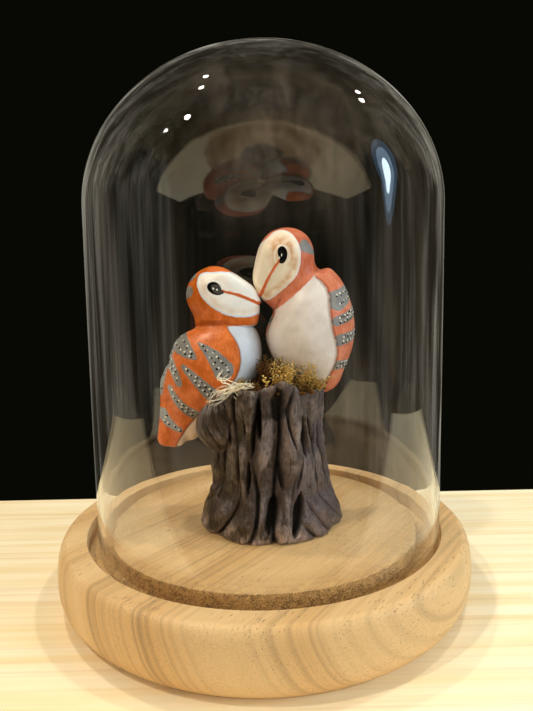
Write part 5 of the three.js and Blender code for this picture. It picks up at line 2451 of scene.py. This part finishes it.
@dataclass
class Stage:
    """The board, the dark room behind it, the studio lights and the camera, in metres and watts."""

    board_back: float = 0.106
    board_front: float = 0.13
    board_reach: float = 0.5
    board_thick: float = 0.02
    board_edge: float = 0.0004
    dark: Colour = srgb(8, 8, 4)
    glass_low: Colour = srgb(16, 14, 9)
    glass_high: Colour = srgb(92, 82, 68)
    room_low: Colour = srgb(60, 56, 46)
    room_high: Colour = srgb(250, 244, 226)
    front_share: float = 0.06
    fill: Colour = srgb(255, 250, 240)
    fill_strength: float = 0.2
    lamps: tuple[Lamp, ...] = (
        Lamp("right key light", (0.3, 0.1, 0.92), 0.05, 2.2, (1.0, 0.94, 0.84)),
        Lamp("left key light", (-0.44, -0.3, 0.8), 0.038, 2.6, (1.0, 0.93, 0.8), in_gloss=True),
        Lamp("rear key light", (-0.33, 0.22, 0.98), 0.05, 2.8, (1.0, 0.93, 0.82)),
        Lamp("window light", (0.75, -0.4, 0.35), 0.4, 4.8, (0.74, 0.88, 1.0)),
        Lamp("front light", (-0.3, -0.85, 0.3), 0.5, 3.0, (1.0, 0.88, 0.68)),
    )
    spots: tuple[Vec, ...] = (
        (-0.28, 0.08, 0.95), (-0.33, -0.05, 0.93), (-0.64, -0.26, 0.72),
        (0.5, 0.12, 0.85), (0.54, 0.05, 0.82),
    )
    spot_away: float = 1.5
    spot_size: float = 0.045
    spot_power: float = 0.35
    spot_colour: Vec = (1.0, 0.95, 0.85)
    panes: tuple[Lamp, ...] = (
        Lamp("window, blue edge", (1.08, -0.3, 0.58), 0.34, 0.5, (0.3, 0.6, 1.0),
             tall=1.7, in_gloss=True),
        Lamp("window, pale middle", (1.05, -0.305, 0.54), 0.22, 0.6, (0.5, 0.75, 1.0),
             tall=2.0, in_gloss=True),
        Lamp("window, bright pane", (1.03, -0.31, 0.5), 0.11, 1.3, (0.75, 0.9, 1.0),
             tall=2.4, in_gloss=True),
    )
    camera_at: Vec = (0.0, -0.270265, 0.13933)
    camera_yaw: float = 0.0098
    camera_pitch: float = 0.1042
    camera_roll: float = -0.0183
    lens: float = 27.595
    sensor: float = 36.0
    finish: BoardFinish = BoardFinish()

    def board(self) -> None:
        """A box with eased edges, its top at the base's underside."""
        near, far, wide = -self.board_front, self.board_back, self.board_reach
        corners = np.array([[-wide, near], [wide, near], [wide, far], [-wide, far]]) / MM
        thick, edge = self.board_thick / MM, self.board_edge / MM
        rows = ((edge, -thick), (0.0, edge - thick), (0.0, -edge), (edge, 0.0))
        inward = np.sign(corners.mean(0) - corners)
        grid = np.array([np.column_stack([corners + inward * drawn, [level] * 4]) for drawn, level in rows])
        faces = [grid_faces(4, 4), np.array([[3, 2, 1, 0], [12, 13, 14, 15]])]
        board = mesh_object("pale_board", grid.reshape(-1, 3), faces)
        board.data.shade_flat()
        board.data.materials.append(self.finish.dress())

    def world(self) -> None:
        """Near-black behind all, soft fill, and in the glass the upright streaks of a dim room, clear
        straight ahead and straight behind."""
        world = bpy.data.worlds.new("soft studio")
        bpy.context.scene.world = world
        world.use_nodes = True
        world.node_tree.nodes.clear()
        g = Graph(world.node_tree)
        x, y, z = g.split(g.add("ShaderNodeTexCoord").outputs["Generated"])
        level = g.remap(g.math("ABSOLUTE", z), 0.75, 0.35)
        wide = g.noise(g.scaled((x, y, z), 3.0, 3.0, 1.0), 1.6, 2.0, 0.6, 0.4)
        close = g.noise(g.scaled((x, y, z), 13.0, 13.0, 1.0), 1.6, 3.0, 0.6, 0.6)
        streaks = g.times(g.remap(wide, 0.4, 0.62), g.remap(close, 0.4, 0.7, 0.25, 1.0))
        streaks = g.times(streaks, g.remap(level, 0.0, 1.0, 0.3, 1.0))
        clear = g.times(g.remap(y, -0.8, -0.5), g.remap(y, 0.998, 0.965))
        clear = g.math("SUBTRACT", 1.0, g.most(clear, g.remap(z, 0.12, 0.45, self.front_share, 0.7)))
        path = g.add("ShaderNodeLightPath").outputs
        room = g.mix(clear, g.mix(streaks, self.room_low, self.room_high), self.dark)
        behind = g.mix(clear, g.mix(streaks, self.glass_low, self.glass_high), self.dark)
        colour = g.layers(self.fill, (path["Is Glossy Ray"], room), (path["Is Transmission Ray"], behind),
                          (path["Is Camera Ray"], self.dark))
        even = g.most(path["Is Glossy Ray"], path["Is Transmission Ray"], path["Is Camera Ray"])
        strength = g.remap(even, 0.0, 1.0, self.fill_strength, 1.0)
        light = g.add("ShaderNodeBackground", {"Color": colour, "Strength": strength})
        g.add("ShaderNodeOutputWorld", {"Surface": light.outputs[0]})

    def reflections(self) -> list[Lamp]:
        """Small lamps and a window that show in the glass and light next to nothing.

        Returns:
            The lamps.
        """
        spots = [Lamp(f"spot {n}", tuple(self.spot_away * part for part in way), self.spot_size,
                      self.spot_power, self.spot_colour, in_gloss=True)
                 for n, way in enumerate(self.spots, 1)]
        return [*spots, *self.panes]

    def camera(self) -> None:
        """Looks along +Y, turned right by yaw, down by pitch and then rolled, all in radians."""
        yaw, pitch, roll = self.camera_yaw, self.camera_pitch, self.camera_roll
        ahead = np.array([math.sin(yaw) * math.cos(pitch), math.cos(yaw) * math.cos(pitch), -math.sin(pitch)])
        right = np.array([math.cos(yaw), -math.sin(yaw), 0.0])
        up = np.cross(right, ahead)
        across = math.cos(roll) * right + math.sin(roll) * up
        upright = -math.sin(roll) * right + math.cos(roll) * up
        data = bpy.data.cameras.new("camera")
        data.lens, data.sensor_width, data.clip_start = self.lens, self.sensor, 0.005
        camera = bpy.data.objects.new("camera", data)
        bpy.context.scene.collection.objects.link(camera)
        place = np.eye(4)
        place[:3, 0], place[:3, 1], place[:3, 2], place[:3, 3] = across, upright, -ahead, self.camera_at
        camera.matrix_world = Matrix(place.tolist())
        bpy.context.scene.camera = camera

    def build(self) -> None:
        """Sets the stage and keeps colours as they are written."""
        self.board()
        self.world()
        for lamp in (*self.lamps, *self.reflections()):
            lamp.build()
        self.camera()
        bpy.context.scene.view_settings.view_transform = "Standard"


def main() -> None:
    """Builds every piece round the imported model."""
    logging.basicConfig(level=logging.INFO, format="%(name)s: %(message)s")
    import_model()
    bark = BarkFinish()
    owls = (LEANING_OWL, UPRIGHT_OWL)
    WoodenBase().build()
    GlassDome().build()
    Stump(finish=bark).build()
    BranchStub().build(bark)
    for owl in owls:
        owl.build()
    MossBed().build(owls)
    Straw().build()
    Stage().build()
    bpy.context.view_layer.update()


if __name__ == "__main__":
    main()
